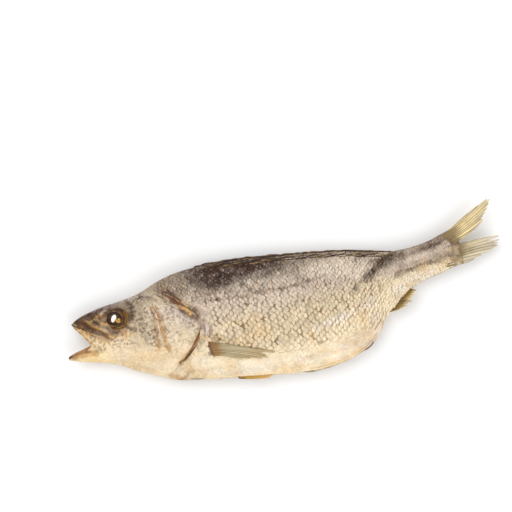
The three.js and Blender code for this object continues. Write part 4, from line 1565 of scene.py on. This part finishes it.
    def laid(self, points: Array, tints: Array, rim: NDArray[np.int64], side: Side) -> Surface:
        """Joins the scales into one surface and lays each out in a cell of its own in the baked picture.

        Args:
            points: Each scale's upper points, then those under its rim.
            tints: Their colours.
            rim: Which of the upper points are on the rim.
            side: The flank.

        Returns:
            The surface.
        """
        count, each, _ = points.shape
        na, nb = self.cells
        upper = na * nb
        after = np.roll(np.arange(rim.size), -1)
        ring = np.stack([rim[after], rim, upper + np.arange(rim.size), upper + after], -1)
        template = grid_faces(na, nb) + [tuple(q) for q in ring.tolist()] + [tuple(range(upper, each))[::-1]]
        if side == Side.LEFT:
            template = [face[::-1] for face in template]
        top = np.stack(grid(np.linspace(0, 0.8, na), np.linspace(0, 1, nb)), -1).reshape(-1, 2)
        skirt = top[rim] * (0.12, 1) + (0.88, 0)
        spot = np.concatenate([top, skirt])
        on_rim = {int(i): k for k, i in enumerate(rim)}
        corner = 0.07 + 0.86 * np.array([spot[i] if i >= upper or max(face) < upper else skirt[on_rim[i]]
                                         for face in template for i in face])
        wide = math.ceil(math.sqrt(count))
        cell = np.stack([np.arange(count) % wide, np.arange(count) // wide], -1)
        corners = ((corner[None] + cell[:, None]) / wide).reshape(-1, 2)
        faces = [tuple(i + k * each for i in face) for k in range(count) for face in template]
        return Surface(points.reshape(-1, 3), faces, tints.reshape(-1, 3), corners)


def flank_plate(x: Array, y: Array, rise: Array, side: Side, depth: float, tints: Array) -> Surface:
    """A plate that lies on a flank and follows its swell.

    Args:
        x: Its points' x, as rows and columns.
        y: Their y.
        rise: How far each stands over the bare flank.
        side: The flank.
        depth: How thick the plate is.
        tints: Colours, one a point.

    Returns:
        The closed plate.
    """
    bare = pressed(SHAPE.height(x, y), side)
    top = stacked(x, y, side * np.minimum(bare + rise, headroom(side, 0.05)))
    under = stacked(x, y, side * (bare + np.minimum(rise, 0.4) - depth))
    return shell(top, under, tints)


@dataclass
class GillCovers:
    """The gill covers with their free rear edge, and the moist tissue that shows behind them.

    Attributes:
        front: Line where the cover grows out of the cheek, from top to bottom.
        rise: How far the free edge stands over the shoulder.
        samples: Points down and across.
        band: Middle of the tissue at the upper corner.
        cleft: The narrow cleft further down.
        strands: How many strands of tissue there are.
    """

    front: Curve = Curve(((-108, 21), (-107, 12), (-106, 0), (-106, -14), (-112, -27), (-121, -36)))
    rise: float = 1.9
    samples: tuple[int, int] = (110, 60)
    band: Curve = Curve(((-100.5, 28.6), (-94.7, 22.8), (-90, 16.3), (-85, 10.7), (-79, 5.7), (-76.6, 0.7)))
    cleft: Curve = Curve(((-77.8, -4.4), (-79.9, -13.7), (-85.9, -20.3), (-93.8, -27.4), (-101.1, -32)))
    strands: int = 27

    def build(self, side: Side) -> list[bpy.types.Object]:
        """Builds one side's cover and what shows behind it.

        Args:
            side: The flank.

        Returns:
            The pieces.
        """
        down, across = self.samples
        s, t = grid(np.linspace(0, 1, down), np.linspace(0, 1, across) ** 0.8)
        fore, rear = self.front.at(s), GILL_EDGE.at(s)
        place = fore + (rear - fore) * t[..., None]
        x, y = place[..., 0], place[..., 1]
        spots = stacked(x, y, side * 50.0)
        x = x + 0.5 * grain(spots, 5, 31) * t
        rays = 0.1 * np.sin(s * 34 + 3 * t) * smooth(t, 0.15, 0.5)
        swell = self.rise * smooth(t, 0.0, 0.75) + 0.35 * bell(t, 0.93, 0.05) - 0.9 * smooth(t, 0.97, 1.0)
        rough = 0.25 * grain(spots, 9, 32) + 0.1 * grain(spots, 2.5, 33)
        rise = swell + rays + rough - 0.25 * (1 - smooth(t, 0, 0.1))
        tint = mix(PAINT.tint(x, y, side), Tone.GOLD, 0.5 * smooth(t, 0.94, 1.0) * smooth(-y, 4, 16))
        tint = tint * (1 + 0.07 * grain(spots, 1.6, 34))[..., None]
        flecks = np.tile(PAINT.flecks(x, y).ravel(), 2)
        plate = flank_plate(x, y, rise, side, 1.2, tint)
        cover = placed(f"gill_cover_{side.label}", plate, Look.BONE, flecks)
        return [cover, self.tissue(side), self.shoulder(side)]

    def tissue(self, side: Side) -> bpy.types.Object:
        """Builds the brown, moist strands along the upper corner of the opening.

        Args:
            side: The flank.

        Returns:
            The piece.
        """
        rng = np.random.default_rng(SEED + 5 * side)
        tones = (Tone.FOLD, Tone.SLIT, Tone.FOLD, Tone.GOLD, Tone.SLIT, Tone.BACK_BROWN, Tone.FOLD)
        steps = 30
        strands = []
        for k in range(self.strands):
            line, spread = (self.band, 3.6) if k % 3 else (self.cleft, 1.2)
            start = rng.uniform(0, 0.45)
            share = np.linspace(start, min(1.0, start + rng.uniform(0.3, 0.6)), steps)
            ahead = unit(line.at(share + 0.01) - line.at(share - 0.01))
            aside = rng.uniform(-spread, spread) + 0.7 * grain(stacked(share * 20, k * 9.0), 2.5, 41)
            aside *= np.sin(math.pi * (0.1 + 0.8 * share))
            x, y = (line.at(share) + np.stack([-ahead[:, 1], ahead[:, 0]], 1) * aside[:, None]).T
            gap, _, behind = GILL_EDGE.near(x, y)
            cover = 0.8 * (1 - smooth(gap * behind, -1.5, 0.8))
            z = side * np.minimum(skin_height(x, y, side) + 0.1 + cover, headroom(side, 1.0))
            radius = rng.uniform(0.4, 0.85) * np.sin(math.pi * np.linspace(0.04, 0.96, steps)) ** 0.5
            tint = mix(tones[k % len(tones)], Tone.MOIST, 0.1 + 0.4 * grain(stacked(x, y, k * 7.0), 3, 42))
            strands.append(tube(stacked(x, y, z), radius, tint, 8, 0.6))
        return placed(f"gill_tissue_{side.label}", Surface.joined(strands), Look.MOIST)

    @staticmethod
    def shoulder(side: Side) -> bpy.types.Object:
        """Builds the smooth bit of shoulder bone that shows behind the cover.

        Args:
            side: The flank.

        Returns:
            The piece.
        """
        s, t = grid(np.linspace(0, 1, 40), np.linspace(-1, 1, 20))
        middle = Curve(((-73, -1.5), (-71.2, -5.5), (-71.8, -10), (-74.5, -14))).at(s)
        half = 2.4 * np.sin(math.pi * (0.03 + 0.94 * s)) ** 0.8
        x, y = middle[..., 0] + half * t, middle[..., 1] + 0.4 * half * t
        spots = stacked(x, y, side * 60.0)
        rise = 0.1 + 0.5 * (1 - t**2) + 0.2 * grain(spots, 2.4, 43)
        tint = layered(Tone.PINK, (Tone.PALE, 0.35 + 0.4 * grain(spots, 2.5, 44)),
                       (Tone.MOIST, 0.5 * smooth(-t, 0.4, 1.0)))
        return placed(f"shoulder_bone_{side.label}", flank_plate(x, y, rise, side, 1.6, tint), Look.MOIST)


@dataclass
class Jaws:
    """Lips, and the plate of the upper jaw that covers the corner of the mouth.

    Attributes:
        plate: Middle line of the jaw plate, from the snout back.
        widths: Its half width along that line.
        lip: Radius of the upper and of the lower lip.
    """

    plate: Curve = Curve(((-184, 18.2), (-177, 10.8), (-169.5, 2.2), (-162.2, -6.8)))
    widths: Profile = Profile(((0, 1.3), (0.3, 2.3), (0.6, 4.0), (0.85, 6.4), (1, 7.4)))
    lip: tuple[float, float] = (1.25, 1.35)

    def build(self, side: Side) -> list[bpy.types.Object]:
        """Builds one side's lips and jaw plate.

        Args:
            side: The flank.

        Returns:
            The pieces.
        """
        s, t = grid(np.linspace(0, 1, 90), np.linspace(-1, 1, 30))
        middle = self.plate.at(s)
        ahead = unit(self.plate.at(np.clip(s + 0.01, 0, 1)) - self.plate.at(np.clip(s - 0.01, 0, 1)))
        rounded = np.sqrt(np.clip(1 - np.clip((s - 0.86) / 0.14, 0, 1) ** 2.4, 0.0006, 1))
        half = self.widths(s) * rounded * (1 + 0.05 * grain(stacked(s * 9, t * 0), 1, 51))
        x = middle[..., 0] - ahead[..., 1] * half * t
        y = middle[..., 1] + ahead[..., 0] * half * t
        spots = stacked(x, y, side * 70.0)
        dome = np.where(t < 0, (1 - np.abs(t) ** 2.6) ** 0.5, 1 - 0.9 * smooth(t, 0.1, 1.0))
        rise = -0.3 + 1.2 * dome * rounded**0.5 + 0.3 * bell(t, -0.8, 0.12)
        rise = rise + 0.2 * grain(spots, 2.2, 52) - 0.3 * bell(t, 0.35, 0.12) * smooth(s, 0.2, 0.5)
        tint = layered(
            PAINT.tint(x, y, side),
            (Tone.STRAW, 0.45),
            (Tone.TAN, 0.7 * (1 - smooth(s, 0.3, 0.7))),
            # The lower edge is painted cream: the jaw plate's own pale edge and a painted highlight on its
            # rolled rim.
            (Tone.THROAT, 0.6 * smooth(-t, 0.3, 0.9)),
            (Tone.GOLD, 0.9 * bell(t, -0.62, 0.16) * (1 - 0.6 * smooth(s, 0.4, 0.9))),
            (Tone.FOLD, 0.35 * smooth(t, 0.75, 1.0) * (1 - smooth(s, 0.3, 0.6))),
            (Tone.TIP, 0.8 * (1 - smooth(s, 0.0, 0.1))))
        plate = placed(f"jaw_plate_{side.label}", flank_plate(x, y, rise, side, 1.6, tint), Look.BONE, 0.8)
        return [plate, self.lip_of("upper", side), self.lip_of("lower", side)]

    def lip_of(self, name: str, side: Side) -> bpy.types.Object:
        """Builds a lip along the edge of the mouth.

        Args:
            name: Which lip, upper or lower.
            side: The flank.

        Returns:
            The piece.
        """
        line, radius, out, tone, darker = {
            "upper": (GAPE_UPPER, self.lip[0], 0.75, Tone.TAN, Tone.GOLD),
            "lower": (GAPE_LOWER, self.lip[1], -0.75, Tone.GOLD, Tone.FOLD)}[name]
        share = np.linspace(0, 1, 70)
        x, y = line.at(share).T
        high = np.minimum(SHAPE.height(x, y + out), SHAPE.girth(x) * 0.92)
        z = side * np.minimum(high - 0.7, REST_DEPTH - 2)
        spots = stacked(x, y, side * 20.0)
        thick = radius * np.sin(math.pi * (0.14 + 0.8 * share)) ** 0.4 * (1 + 0.14 * grain(spots, 2.2, 54))
        tint = layered(tone, (darker, 0.45 + 0.4 * grain(spots, 2.4, 55)),
                       (Tone.TIP, 0.9 * (1 - smooth(share, 0.09, 0.3))))
        strand = tube(stacked(x, y + out * 0.4, z), thick, tint, 10)
        return placed(f"lip_{name}_{side.label}", strand, Look.MOIST)


@dataclass
class Eyes:
    """Dried eyes: an amber ball, sunk in its socket, and a lens, painted near-white as a highlight, that
    shows through.

    Attributes:
        radius: Of the ball where it meets the socket.
        dome: How far it stands over the socket's floor.
        lens: The lens's place off the eye's centre, and its half length and half width.
    """

    radius: float = 9.6
    dome: float = 2.6
    lens: tuple[float, float, float, float] = (-3.6, 1.9, 3.7, 2.3)

    def build(self, side: Side) -> list[bpy.types.Object]:
        """Builds one eye.

        Args:
            side: The flank.

        Returns:
            The ball and the lens.
        """
        floor = float(pressed(SHAPE.height(*np.array(EYE)) - 2.4, side))
        r, turn = grid(np.linspace(0.02, 1, 46), np.linspace(0, 2 * math.pi, 97)[:-1])
        dx, dy = self.radius * r * np.cos(turn), self.radius * 0.95 * r * np.sin(turn)
        off_lens = np.hypot((dx - self.lens[0]) / 6.2, (dy - self.lens[1]) / 5.6)
        arcs = sum(bell(r - 0.02 * np.sin(3 * turn), at, 0.022) for at in (0.7, 0.86, 0.965))
        lean = np.cos(turn + 0.7)
        rise = self.dome * np.sqrt(np.clip(1 - r**2 * 0.94, 0, 1)) + 0.25 * arcs * smooth(lean, -0.4, 0.7)
        rise = rise - 0.5 * bell(off_lens, 1.0, 0.16)
        spots = stacked(dx, dy, side * 80.0)
        fibres = np.clip(grain(stacked(turn * 3, r * 9), 1.0, 62), 0, 1)
        lit = 1 - smooth(np.hypot(dx + 0.2, dy + 0.6), 1.4, 2.6)
        colour = layered(
            Tone.EYE_BROWN,
            (Tone.FOLD, 0.3 + 0.5 * grain(spots, 2.0, 61) + 0.5 * smooth(r, 0.85, 1.0)),
            (Tone.EYE_GOLD, 0.9 * arcs * smooth(lean, -0.1, 0.6)),
            (Tone.EYE_GOLD, 0.6 * bell(off_lens, 1.12, 0.07) * smooth(-lean, -0.5, 0.5)),
            (Tone.EYE_DARK, 0.95 * bell(off_lens, 0.95, 0.17)),
            (Tone.EYE_DARK, 0.75 * fibres * smooth(r, 0.5, 0.7)),
            (Tone.EYE_DARK, 0.8 * (1 - smooth(off_lens, 0.5, 0.8))),
            (Tone.EYE_GOLD, lit * (0.75 + 0.5 * grain(spots, 1.2, 63))))
        ball = self.dome_of(EYE[0] + dx, EYE[1] + dy, side * (floor + rise), side * (floor - 2.5), colour)
        return [placed(f"eye_{side.label}", ball, Look.EYE), self.lens_of(side, floor)]

    @staticmethod
    def dome_of(x: Array, y: Array, z: Array, base: float, tints: Array) -> Surface:
        """Closes a round dome over a flat base.

        Args:
            x: The dome's x by radius and turn.
            y: Its y.
            z: Its z.
            base: The base's z.
            tints: Colours of the dome's points.

        Returns:
            The closed surface.
        """
        rings = np.concatenate([stacked(x, y, z), stacked(x[-1:], y[-1:], base)])
        return ringed(rings, np.concatenate([tints, tints[-1:]]))

    def lens_of(self, side: Side, floor: float) -> bpy.types.Object:
        """Builds the lens, an upright almond painted near-white as a highlight.

        Args:
            side: The flank.
            floor: Height of the socket's floor.

        Returns:
            The piece.
        """
        dx, dy, tall, wide = self.lens
        r, turn = grid(np.linspace(0.03, 1, 16), np.linspace(0, 2 * math.pi, 49)[:-1])
        u, v = wide * r * np.cos(turn), tall * r * np.sin(turn)
        lean = -0.55
        x = EYE[0] + dx + u * math.cos(lean) - v * math.sin(lean)
        y = EYE[1] + dy + u * math.sin(lean) + v * math.cos(lean)
        rise = self.dome + 0.35 + 0.75 * np.sqrt(np.clip(1 - r**2, 0, 1)) - 1.0 * r**4
        # The lens is painted near-white as a highlight, gold towards one side and brown at its rim.
        colour = layered(Tone.LENS, (Tone.EYE_GOLD, 0.9 * smooth(r * np.cos(turn + 0.6), 0.35, 0.8)),
                         (Tone.EYE_BROWN, 0.8 * smooth(r, 0.86, 1.0)))
        almond = self.dome_of(x, y, side * (floor + rise), side * (floor + 0.6), colour)
        return placed(f"eye_lens_{side.label}", almond, Look.LENS)


@dataclass
class RayFin:
    """A fin of rays with a thin web between them, ragged at its edge.

    Attributes:
        name: The piece's name.
        roots: Line that the rays start from.
        tips: Line that they end at.
        rays: How many there are.
        tones: Colours of the root, of the painted shade between the rays, of a ray and of its tip.
        thick: A ray's thickness at its root, and the web's.
        ragged: How much shorter a ray may be, and how far the web is torn back between two.
        tears: Splits, as the place across the fin from 0 to 1, the width and the depth.
        bow: How far the rays curve sideways, as a share of their length.
        wave: How far the fin's edge waves across the body.
        root_dark: Share of a ray's length over which the root's colour fades.
        root_swell: How much thicker the rays are right at their roots, as a share.
        first_ray_shadow: How dark the painted shadow on the first ray is near its root, where the lobes meet.
        lies_on: The flank whose skin the fin lies on, or none for a fin that stands free.
        per_ray: Columns of points for each ray.
        steps: Points along a ray.
    """

    name: str
    roots: Curve
    tips: Curve
    rays: int
    tones: tuple[Tone, Tone, Tone, Tone]
    thick: tuple[float, float] = (1.0, 0.35)
    ragged: tuple[float, float] = (0.08, 0.07)
    tears: tuple[tuple[float, float, float], ...] = ()
    bow: float = 0.0
    wave: float = 0.3
    root_dark: float = 0.3
    root_swell: float = 0.0
    first_ray_shadow: float = 0.0
    lies_on: Side | None = None
    per_ray: int = 8
    steps: int = 44

    def surface(self, seed: int) -> Surface:
        """Makes the fin.

        Args:
            seed: Which of the ragged edges.

        Returns:
            The closed surface.
        """
        rng = np.random.default_rng(seed)
        k, s = grid(np.linspace(0, 1, self.rays * self.per_ray + 1), np.linspace(0, 1, self.steps))
        phase = (k * self.rays) % 1.0
        ray = np.clip(np.cos(math.pi * (phase - 0.5)), 0, 1) ** 0.8
        number = np.minimum((k * self.rays).astype(int), self.rays - 1)
        short = rng.random(self.rays)[number] * self.ragged[0]
        reach = 1.03 - short - self.ragged[1] * (1 - ray) * (0.4 + 0.6 * rng.random(self.rays)[number])
        for middle, width, depth in self.tears:
            reach = reach - depth * bell(k, middle, width)
        root, span = self.roots.at(k), self.tips.at(k) - self.roots.at(k)
        late = 0.07 * self.root_swell * (1 - ray)
        way = (late + s * (reach - late))[..., None]
        aside = stacked(-span[..., 1], span[..., 0])
        place = root + span * way + aside * self.bow * np.sin(math.pi * way)
        spots = stacked(place[..., 0], place[..., 1], seed * 9.0)
        place[..., 2] += self.wave * np.sin(k * 9 + seed) * s**1.5 + 0.4 * self.wave * grain(spots, 6, seed)
        if self.lies_on:
            high = skin_height(place[..., 0], place[..., 1], self.lies_on)
            place[..., 2] = self.lies_on * (high + np.abs(place[..., 2]) + 0.25)
        branch = 0.5 + 0.5 * np.cos(2 * math.pi * phase * 3)
        line = ray * (1 - smooth(s, 0.45, 0.9)) + smooth(s, 0.45, 0.9) * (0.45 * ray + 0.55 * branch)
        swell = 1 + self.root_swell * (1 - s) ** 8
        thick, web = self.thick
        half = stacked(0, 0, 0.5 * (web + (thick - web) * line * swell) * (1 - 0.55 * s))
        upper, lower = place + half, place - half
        if self.lies_on == Side.RIGHT:
            upper[..., 2] = np.maximum(upper[..., 2], 0.02 - REST_DEPTH)
        root_tone, between_shade_tone, ray_tone, tip_tone = self.tones
        drawn = rng.uniform(0.4, 1.1, self.rays + 1)[np.rint(k * self.rays).astype(int)]
        # Painted shade in thin lines between the rays.
        between = bell(np.minimum(phase, 1 - phase), 0, 0.18) * drawn * (1 - 0.3 * s)
        rooted = 1 - smooth(s + 0.14 * grain(spots, 4, seed + 2), 0.3 * self.root_dark, self.root_dark)
        tint = mix(ray_tone, tip_tone, 0.7 * smooth(s + 0.15 * grain(spots, 5, seed + 1), 0.35, 1.0))
        tint = layered(
            tint * rng.uniform(0.72, 1.14, self.rays)[number][..., None],
            (between_shade_tone, 0.95 * between),
            (root_tone, 0.85 * rooted * (1 - 0.5 * between)),
            (Tone.SLIT, 0.5 * (1 - smooth(s, 0.0, 0.07))),
            # Painted shadow on the first ray near its root.
            (Tone.TIP, self.first_ray_shadow * bell(k, 0, 0.13) * (1 - smooth(s, 0.55, 0.9))))
        streak = grain(stacked(k * 300, s * 4), 3, seed + 3)
        return shell(upper, lower, tint * (1 + 0.12 * streak)[..., None])

    def build(self, seed: int) -> bpy.types.Object:
        """Builds the fin as a piece of its own, with the ragged edge of that seed."""
        return placed(self.name, self.surface(SEED + seed), Look.FIN)


PELVIC_TONES = (Tone.SLIT, Tone.FOLD, Tone.EYE_GOLD, Tone.TAN)
FINS: tuple[RayFin, ...] = (
    RayFin("tail_lobe_upper",
           Curve(((140, 23, 0.4), (144.5, 20.8, 0.4), (148.6, 18, 0.3), (151.8, 14.6, 0.2))),
           Curve(((163, 34.4, 1.5), (180.6, 43.2, 4.5), (192.2, 46.6, 6), (188.4, 39.8, 5.4),
                  (184.6, 34.3, 4.4), (182, 27.4, 3.2), (168.5, 20.6, 1.5))),
           10, (Tone.FIN_ROOT, Tone.FIN_LINE, Tone.FIN_GOLD, Tone.FIN_OLIVE), thick=(1.8, 0.4),
           ragged=(0.1, 0.12), tears=((0.83, 0.02, 0.28), (0.66, 0.015, 0.12)), bow=-0.03, wave=0.5,
           root_dark=0.54, root_swell=1.3),
    RayFin("tail_lobe_lower",
           Curve(((147.6, 14.4, 0.1), (146.4, 8.6, 0.1), (144.6, 3, 0.1), (142.6, -3.8, 0.1))),
           Curve(((166, 13.4, -0.2), (184, 14.3, -2.2), (192.3, 13.3, -4), (195.9, 8.2, -5.2),
                  (190, 4.1, -4.4), (177.9, -0.1, -2), (163, -4.1, -0.4))),
           10, (Tone.FIN_ROOT, Tone.FIN_LINE, Tone.FIN_PALE, Tone.SILVER), thick=(1.8, 0.4),
           ragged=(0.1, 0.12), tears=((0.42, 0.02, 0.16), (0.72, 0.012, 0.1)), bow=0.02, wave=0.5,
           root_dark=0.62, root_swell=1.3, first_ray_shadow=0.9),
    RayFin("anal_fin",
           Curve(((84.6, -30.5, 0), (92, -25, 0), (99, -19.5, 0), (106, -14, 0))),
           Curve(((94, -30.6, 1), (101, -28.8, 1.5), (107, -26.2, 2), (113.4, -20.6, 2), (112, -16.2, 1.2))),
           9, (Tone.FIN_LINE, Tone.FIN_LINE, Tone.EYE_GOLD, Tone.FIN_PALE), thick=(1.2, 0.4),
           ragged=(0.3, 0.3), wave=0.8, root_dark=0.95),
    RayFin("pelvic_fin_left",
           Curve(((-56.4, -52.6, 0.8), (-55, -57.6, 0.4))), Curve(((-24.5, -57.4, 0.9), (-26, -62.9, 0.6))),
           6, PELVIC_TONES, thick=(1.3, 0.5), ragged=(0.12, 0.1), bow=-0.03, root_dark=0.16),
    RayFin("pelvic_fin_right",
           Curve(((-56.8, -52, -1.6), (-55.6, -57, -1.2))), Curve(((-24, -56.6, -1.6), (-28, -61.6, -1.4))),
           6, PELVIC_TONES, thick=(1.3, 0.5), ragged=(0.12, 0.1), bow=-0.02, root_dark=0.16),
    *(RayFin(f"breast_fin_{side.label}",
             Curve(((-73.4, -19.4, 0.4), (-73.6, -24.6, 0.9), (-72.2, -32.4, 0.4))),
             Curve(((-42, -32.4, 0.9), (-29, -37.2, 1.2), (-20, -40.6, 1.4), (-22, -44.4, 1.1),
                    (-33, -43.8, 0.8), (-47, -41.6, 0.6))),
             12, (Tone.FIN_BROWN, Tone.FIN_LINE, Tone.FIN_OLIVE, Tone.FIN_TAN), thick=(1.3, 0.3),
             ragged=(0.16, 0.14), tears=((0.55, 0.03, 0.12),), bow=0.02, wave=0.6, root_dark=0.34,
             lies_on=side)
      for side in Side),
)


@dataclass
class FoldedFin:
    """A fin folded down along the back: its spines lie rearwards in a crumpled web.

    Attributes:
        name: The piece's name.
        start: Where its first spine is rooted.
        end: Where its web ends.
        spines: How many spines it has.
        length: How long they are.
        height: How far the folded web stands over the back.
    """

    name: str
    start: float
    end: float
    spines: int
    length: float
    height: float

    def build(self) -> bpy.types.Object:
        """Builds the fin.

        Returns:
            The piece.
        """
        rng = np.random.default_rng(SEED + self.spines)
        count = int((self.end - self.start) / 0.7)
        x, t = grid(np.linspace(self.start, self.end, count), np.linspace(-1, 1, 13))
        share = (x - self.start) / (self.end - self.start)
        fold = self.height * np.sin(math.pi * np.clip(0.05 + 0.93 * share, 0, 1)) ** 0.45
        spots = stacked(x, t * 3)
        high = fold * (1 + 0.25 * grain(stacked(x, t * 0), 5, 71)) * (0.75 + 0.25 * np.cos(t * 1.5))
        y = SHAPE.back(x) - 1.6 + (high + 1.6) * (1 - np.abs(t) ** 1.7)
        z = t * 1.9 + 0.4 * grain(spots, 2.2, 72)
        tint = mix(Tone.BACK, Tone.SPINE, 0.12 + 0.5 * grain(spots, 3, 73))
        parts = [shell(stacked(x, y, z), stacked(x, SHAPE.back(x) - 3.2, z * 0.7), tint)]
        tones = (Tone.BACK, Tone.SPINE, Tone.TIP, Tone.OLIVE_LINE)
        run = np.linspace(0, 1, 26)
        for k, root in enumerate(np.linspace(self.start + 1, self.end - self.length * 0.95, self.spines)):
            x = root + self.length * rng.uniform(0.85, 1.1) * run
            back = SHAPE.back(x)
            down = (0.0, 1.5, 2.9, 0.6, 2.1)[k % 5]
            rise = (self.height + 0.2) * smooth(run, 0, 0.5)
            y = back - 0.9 + rise * (1 - down / 3.2) - down + 0.25 * np.sin(run * 5 + k)
            over = np.where(y < back - 0.6, SHAPE.height(x, np.minimum(y, back - 0.3)), 0.9)
            z = over + 0.25 if k % 5 else -0.9 * (0.4 + run)
            shade = mix(tones[k % 4], Tone.BACK, 0.3 + 0.5 * np.sin(run * 9 + k * 2))
            parts.append(tube(stacked(x, y, z), 0.6 * (1 - 0.6 * run), shade, 7))
        return placed(self.name, Surface.joined(parts), Look.FIN)


FOLDED_FINS = (
    FoldedFin("back_fin_first", -72, 24, 28, 22, 2.3),
    FoldedFin("back_fin_second", 10, 99, 30, 15, 2.1),
)


@dataclass
class BellyEdges:
    """The dried edges of the two belly flaps where the fish was gutted.

    Attributes:
        front: Where the cut starts.
        rear: Where it ends, at the vent.
        radius: Half the thickness of a flap's rolled edge.
    """

    front: float = -94.0
    rear: float = 72.0
    radius: float = 0.9

    def build(self) -> list[bpy.types.Object]:
        """Builds the left and the right edge.

        Returns:
            The pieces.
        """
        pieces = []
        for side, out in ((Side.LEFT, 1.7), (Side.RIGHT, 0.6)):
            x = np.linspace(self.front, self.rear, 240)
            share = (x - self.front) / (self.rear - self.front)
            spots = stacked(x, 0, side * 9.0)
            y = SHAPE.belly(x) + 0.9 + out + 0.35 * grain(spots, 7, 81) + 0.2 * grain(spots, 2.4, 82)
            y = y - (1.5 if side == Side.RIGHT else 0.0) * smooth(x, 52, 66)
            z = side * (1.7 + 0.3 * grain(spots, 6, 83))
            radius = self.radius * np.sin(math.pi * (0.02 + 0.96 * share)) ** 0.4
            radius = radius * (1 + 0.2 * grain(spots, 3, 84))
            tint = layered(PAINT.tint(x, y + 1.5, side), (Tone.TAN, 0.3 * grain(spots, 5, 85)),
                           (Tone.PURPLE, 0.9 * smooth(x, 46, 58) * (side == Side.RIGHT)))
            strand = tube(stacked(x, y, z), radius, tint, 9, 0.9)
            pieces.append(placed(f"belly_edge_{side.label}", strand, Look.SKIN))
        return pieces


@dataclass
class Studio:
    """A pale floor, soft light and a camera that looks straight down, as in the photo.

    Attributes:
        photo_side: Width of the picture, in pixels.
        pixel_mm: Size of a pixel on the fish.
        lean_deg: How far the fish's axis rises to the right in the picture.
        origin_px: Where the fish's own origin is in the picture.
        lens_mm: The lens.
        sensor_mm: The sensor's width.
        level_mm: Height over the floor that is drawn at that scale.
    """

    photo_side: int = 512
    pixel_mm: float = 0.87
    lean_deg: float = 13.0
    origin_px: tuple[float, float] = (286.0, 300.0)
    lens_mm: float = 100.0
    sensor_mm: float = 36.0
    level_mm: float = 14.0

    def build(self) -> None:
        """Builds the floor, the light and the camera."""
        self.floor()
        self.light("key", (-0.5, 0.7, 1.2), 1.3, 10.8)
        self.light("fill", (0.6, -0.7, 1.1), 1.2, 7.0)
        world = bpy.data.worlds.new("studio")
        world.use_nodes = True
        sky = world.node_tree.nodes["Background"].inputs
        sky["Color"].default_value = (1, 1, 1, 1)
        sky["Strength"].default_value = 0.68
        bpy.context.scene.world = world
        bpy.context.scene.view_settings.view_transform = "Standard"
        self.camera()

    @staticmethod
    def floor() -> None:
        """Lays a near-white floor under the fish."""
        half = 3.0
        mesh = bpy.data.meshes.new("floor")
        corners = [(-half, -half, 0), (half, -half, 0), (half, half, 0), (-half, half, 0)]
        mesh.from_pydata(corners, [], [(0, 1, 2, 3)])
        made = bpy.data.materials.new("floor")
        made.use_nodes = True
        surface = made.node_tree.nodes["Principled BSDF"]
        surface.inputs["Base Color"].default_value = (0.93, 0.93, 0.93, 1)
        surface.inputs["Roughness"].default_value = 0.9
        mesh.materials.append(made)
        floor = linked("floor", mesh)

    @staticmethod
    def light(name: str, place: tuple[float, float, float], size: float, watts: float) -> None:
        """Hangs a square soft light that points at the fish.

        Args:
            name: Its name.
            place: Where it is, in metres.
            size: Its width.
            watts: Its power.
        """
        lamp = bpy.data.lights.new(name, "AREA")
        lamp.size = size
        lamp.energy = watts
        holder = linked(name, lamp)
        holder.location = place
        holder.rotation_euler = (-Vector(place)).to_track_quat("-Z", "Y").to_euler()

    def camera(self) -> None:
        """Places the camera so that the fish lies in the picture as it does in the photo."""
        lean = math.radians(self.lean_deg)
        right = (self.photo_side / 2 - self.origin_px[0]) * self.pixel_mm
        up = (self.origin_px[1] - self.photo_side / 2) * self.pixel_mm
        x = right * math.cos(lean) + up * math.sin(lean)
        y = up * math.cos(lean) - right * math.sin(lean)
        away = self.photo_side * self.pixel_mm * self.lens_mm / self.sensor_mm
        eye = bpy.data.cameras.new("camera")
        eye.lens, eye.sensor_width = self.lens_mm, self.sensor_mm
        holder = linked("camera", eye)
        holder.location = ((x + ROW_SHIFT[0]) * MM, (y + ROW_SHIFT[1]) * MM, (away + self.level_mm) * MM)
        holder.rotation_euler = (0, 0, -lean)
        bpy.context.scene.camera = holder


def main() -> None:
    """Builds the fish and its studio, and reports each piece."""
    logging.basicConfig(level=logging.INFO, format="%(message)s")
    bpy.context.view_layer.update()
    pieces = [Hide().build()]
    for side in Side:
        pieces += [ScaleCoat().build(side), *GillCovers().build(side)]
        pieces += [*Jaws().build(side), *Eyes().build(side)]
    pieces += [fin.build(seed) for seed, fin in enumerate(FINS)]
    pieces += [folded.build() for folded in FOLDED_FINS]
    pieces += BellyEdges().build()
    Studio().build()
    for piece in pieces:
        piece.data.calc_loop_triangles()
        log.info("%s: %d triangles", piece.name, len(piece.data.loop_triangles))


if __name__ == "__main__":
    main()
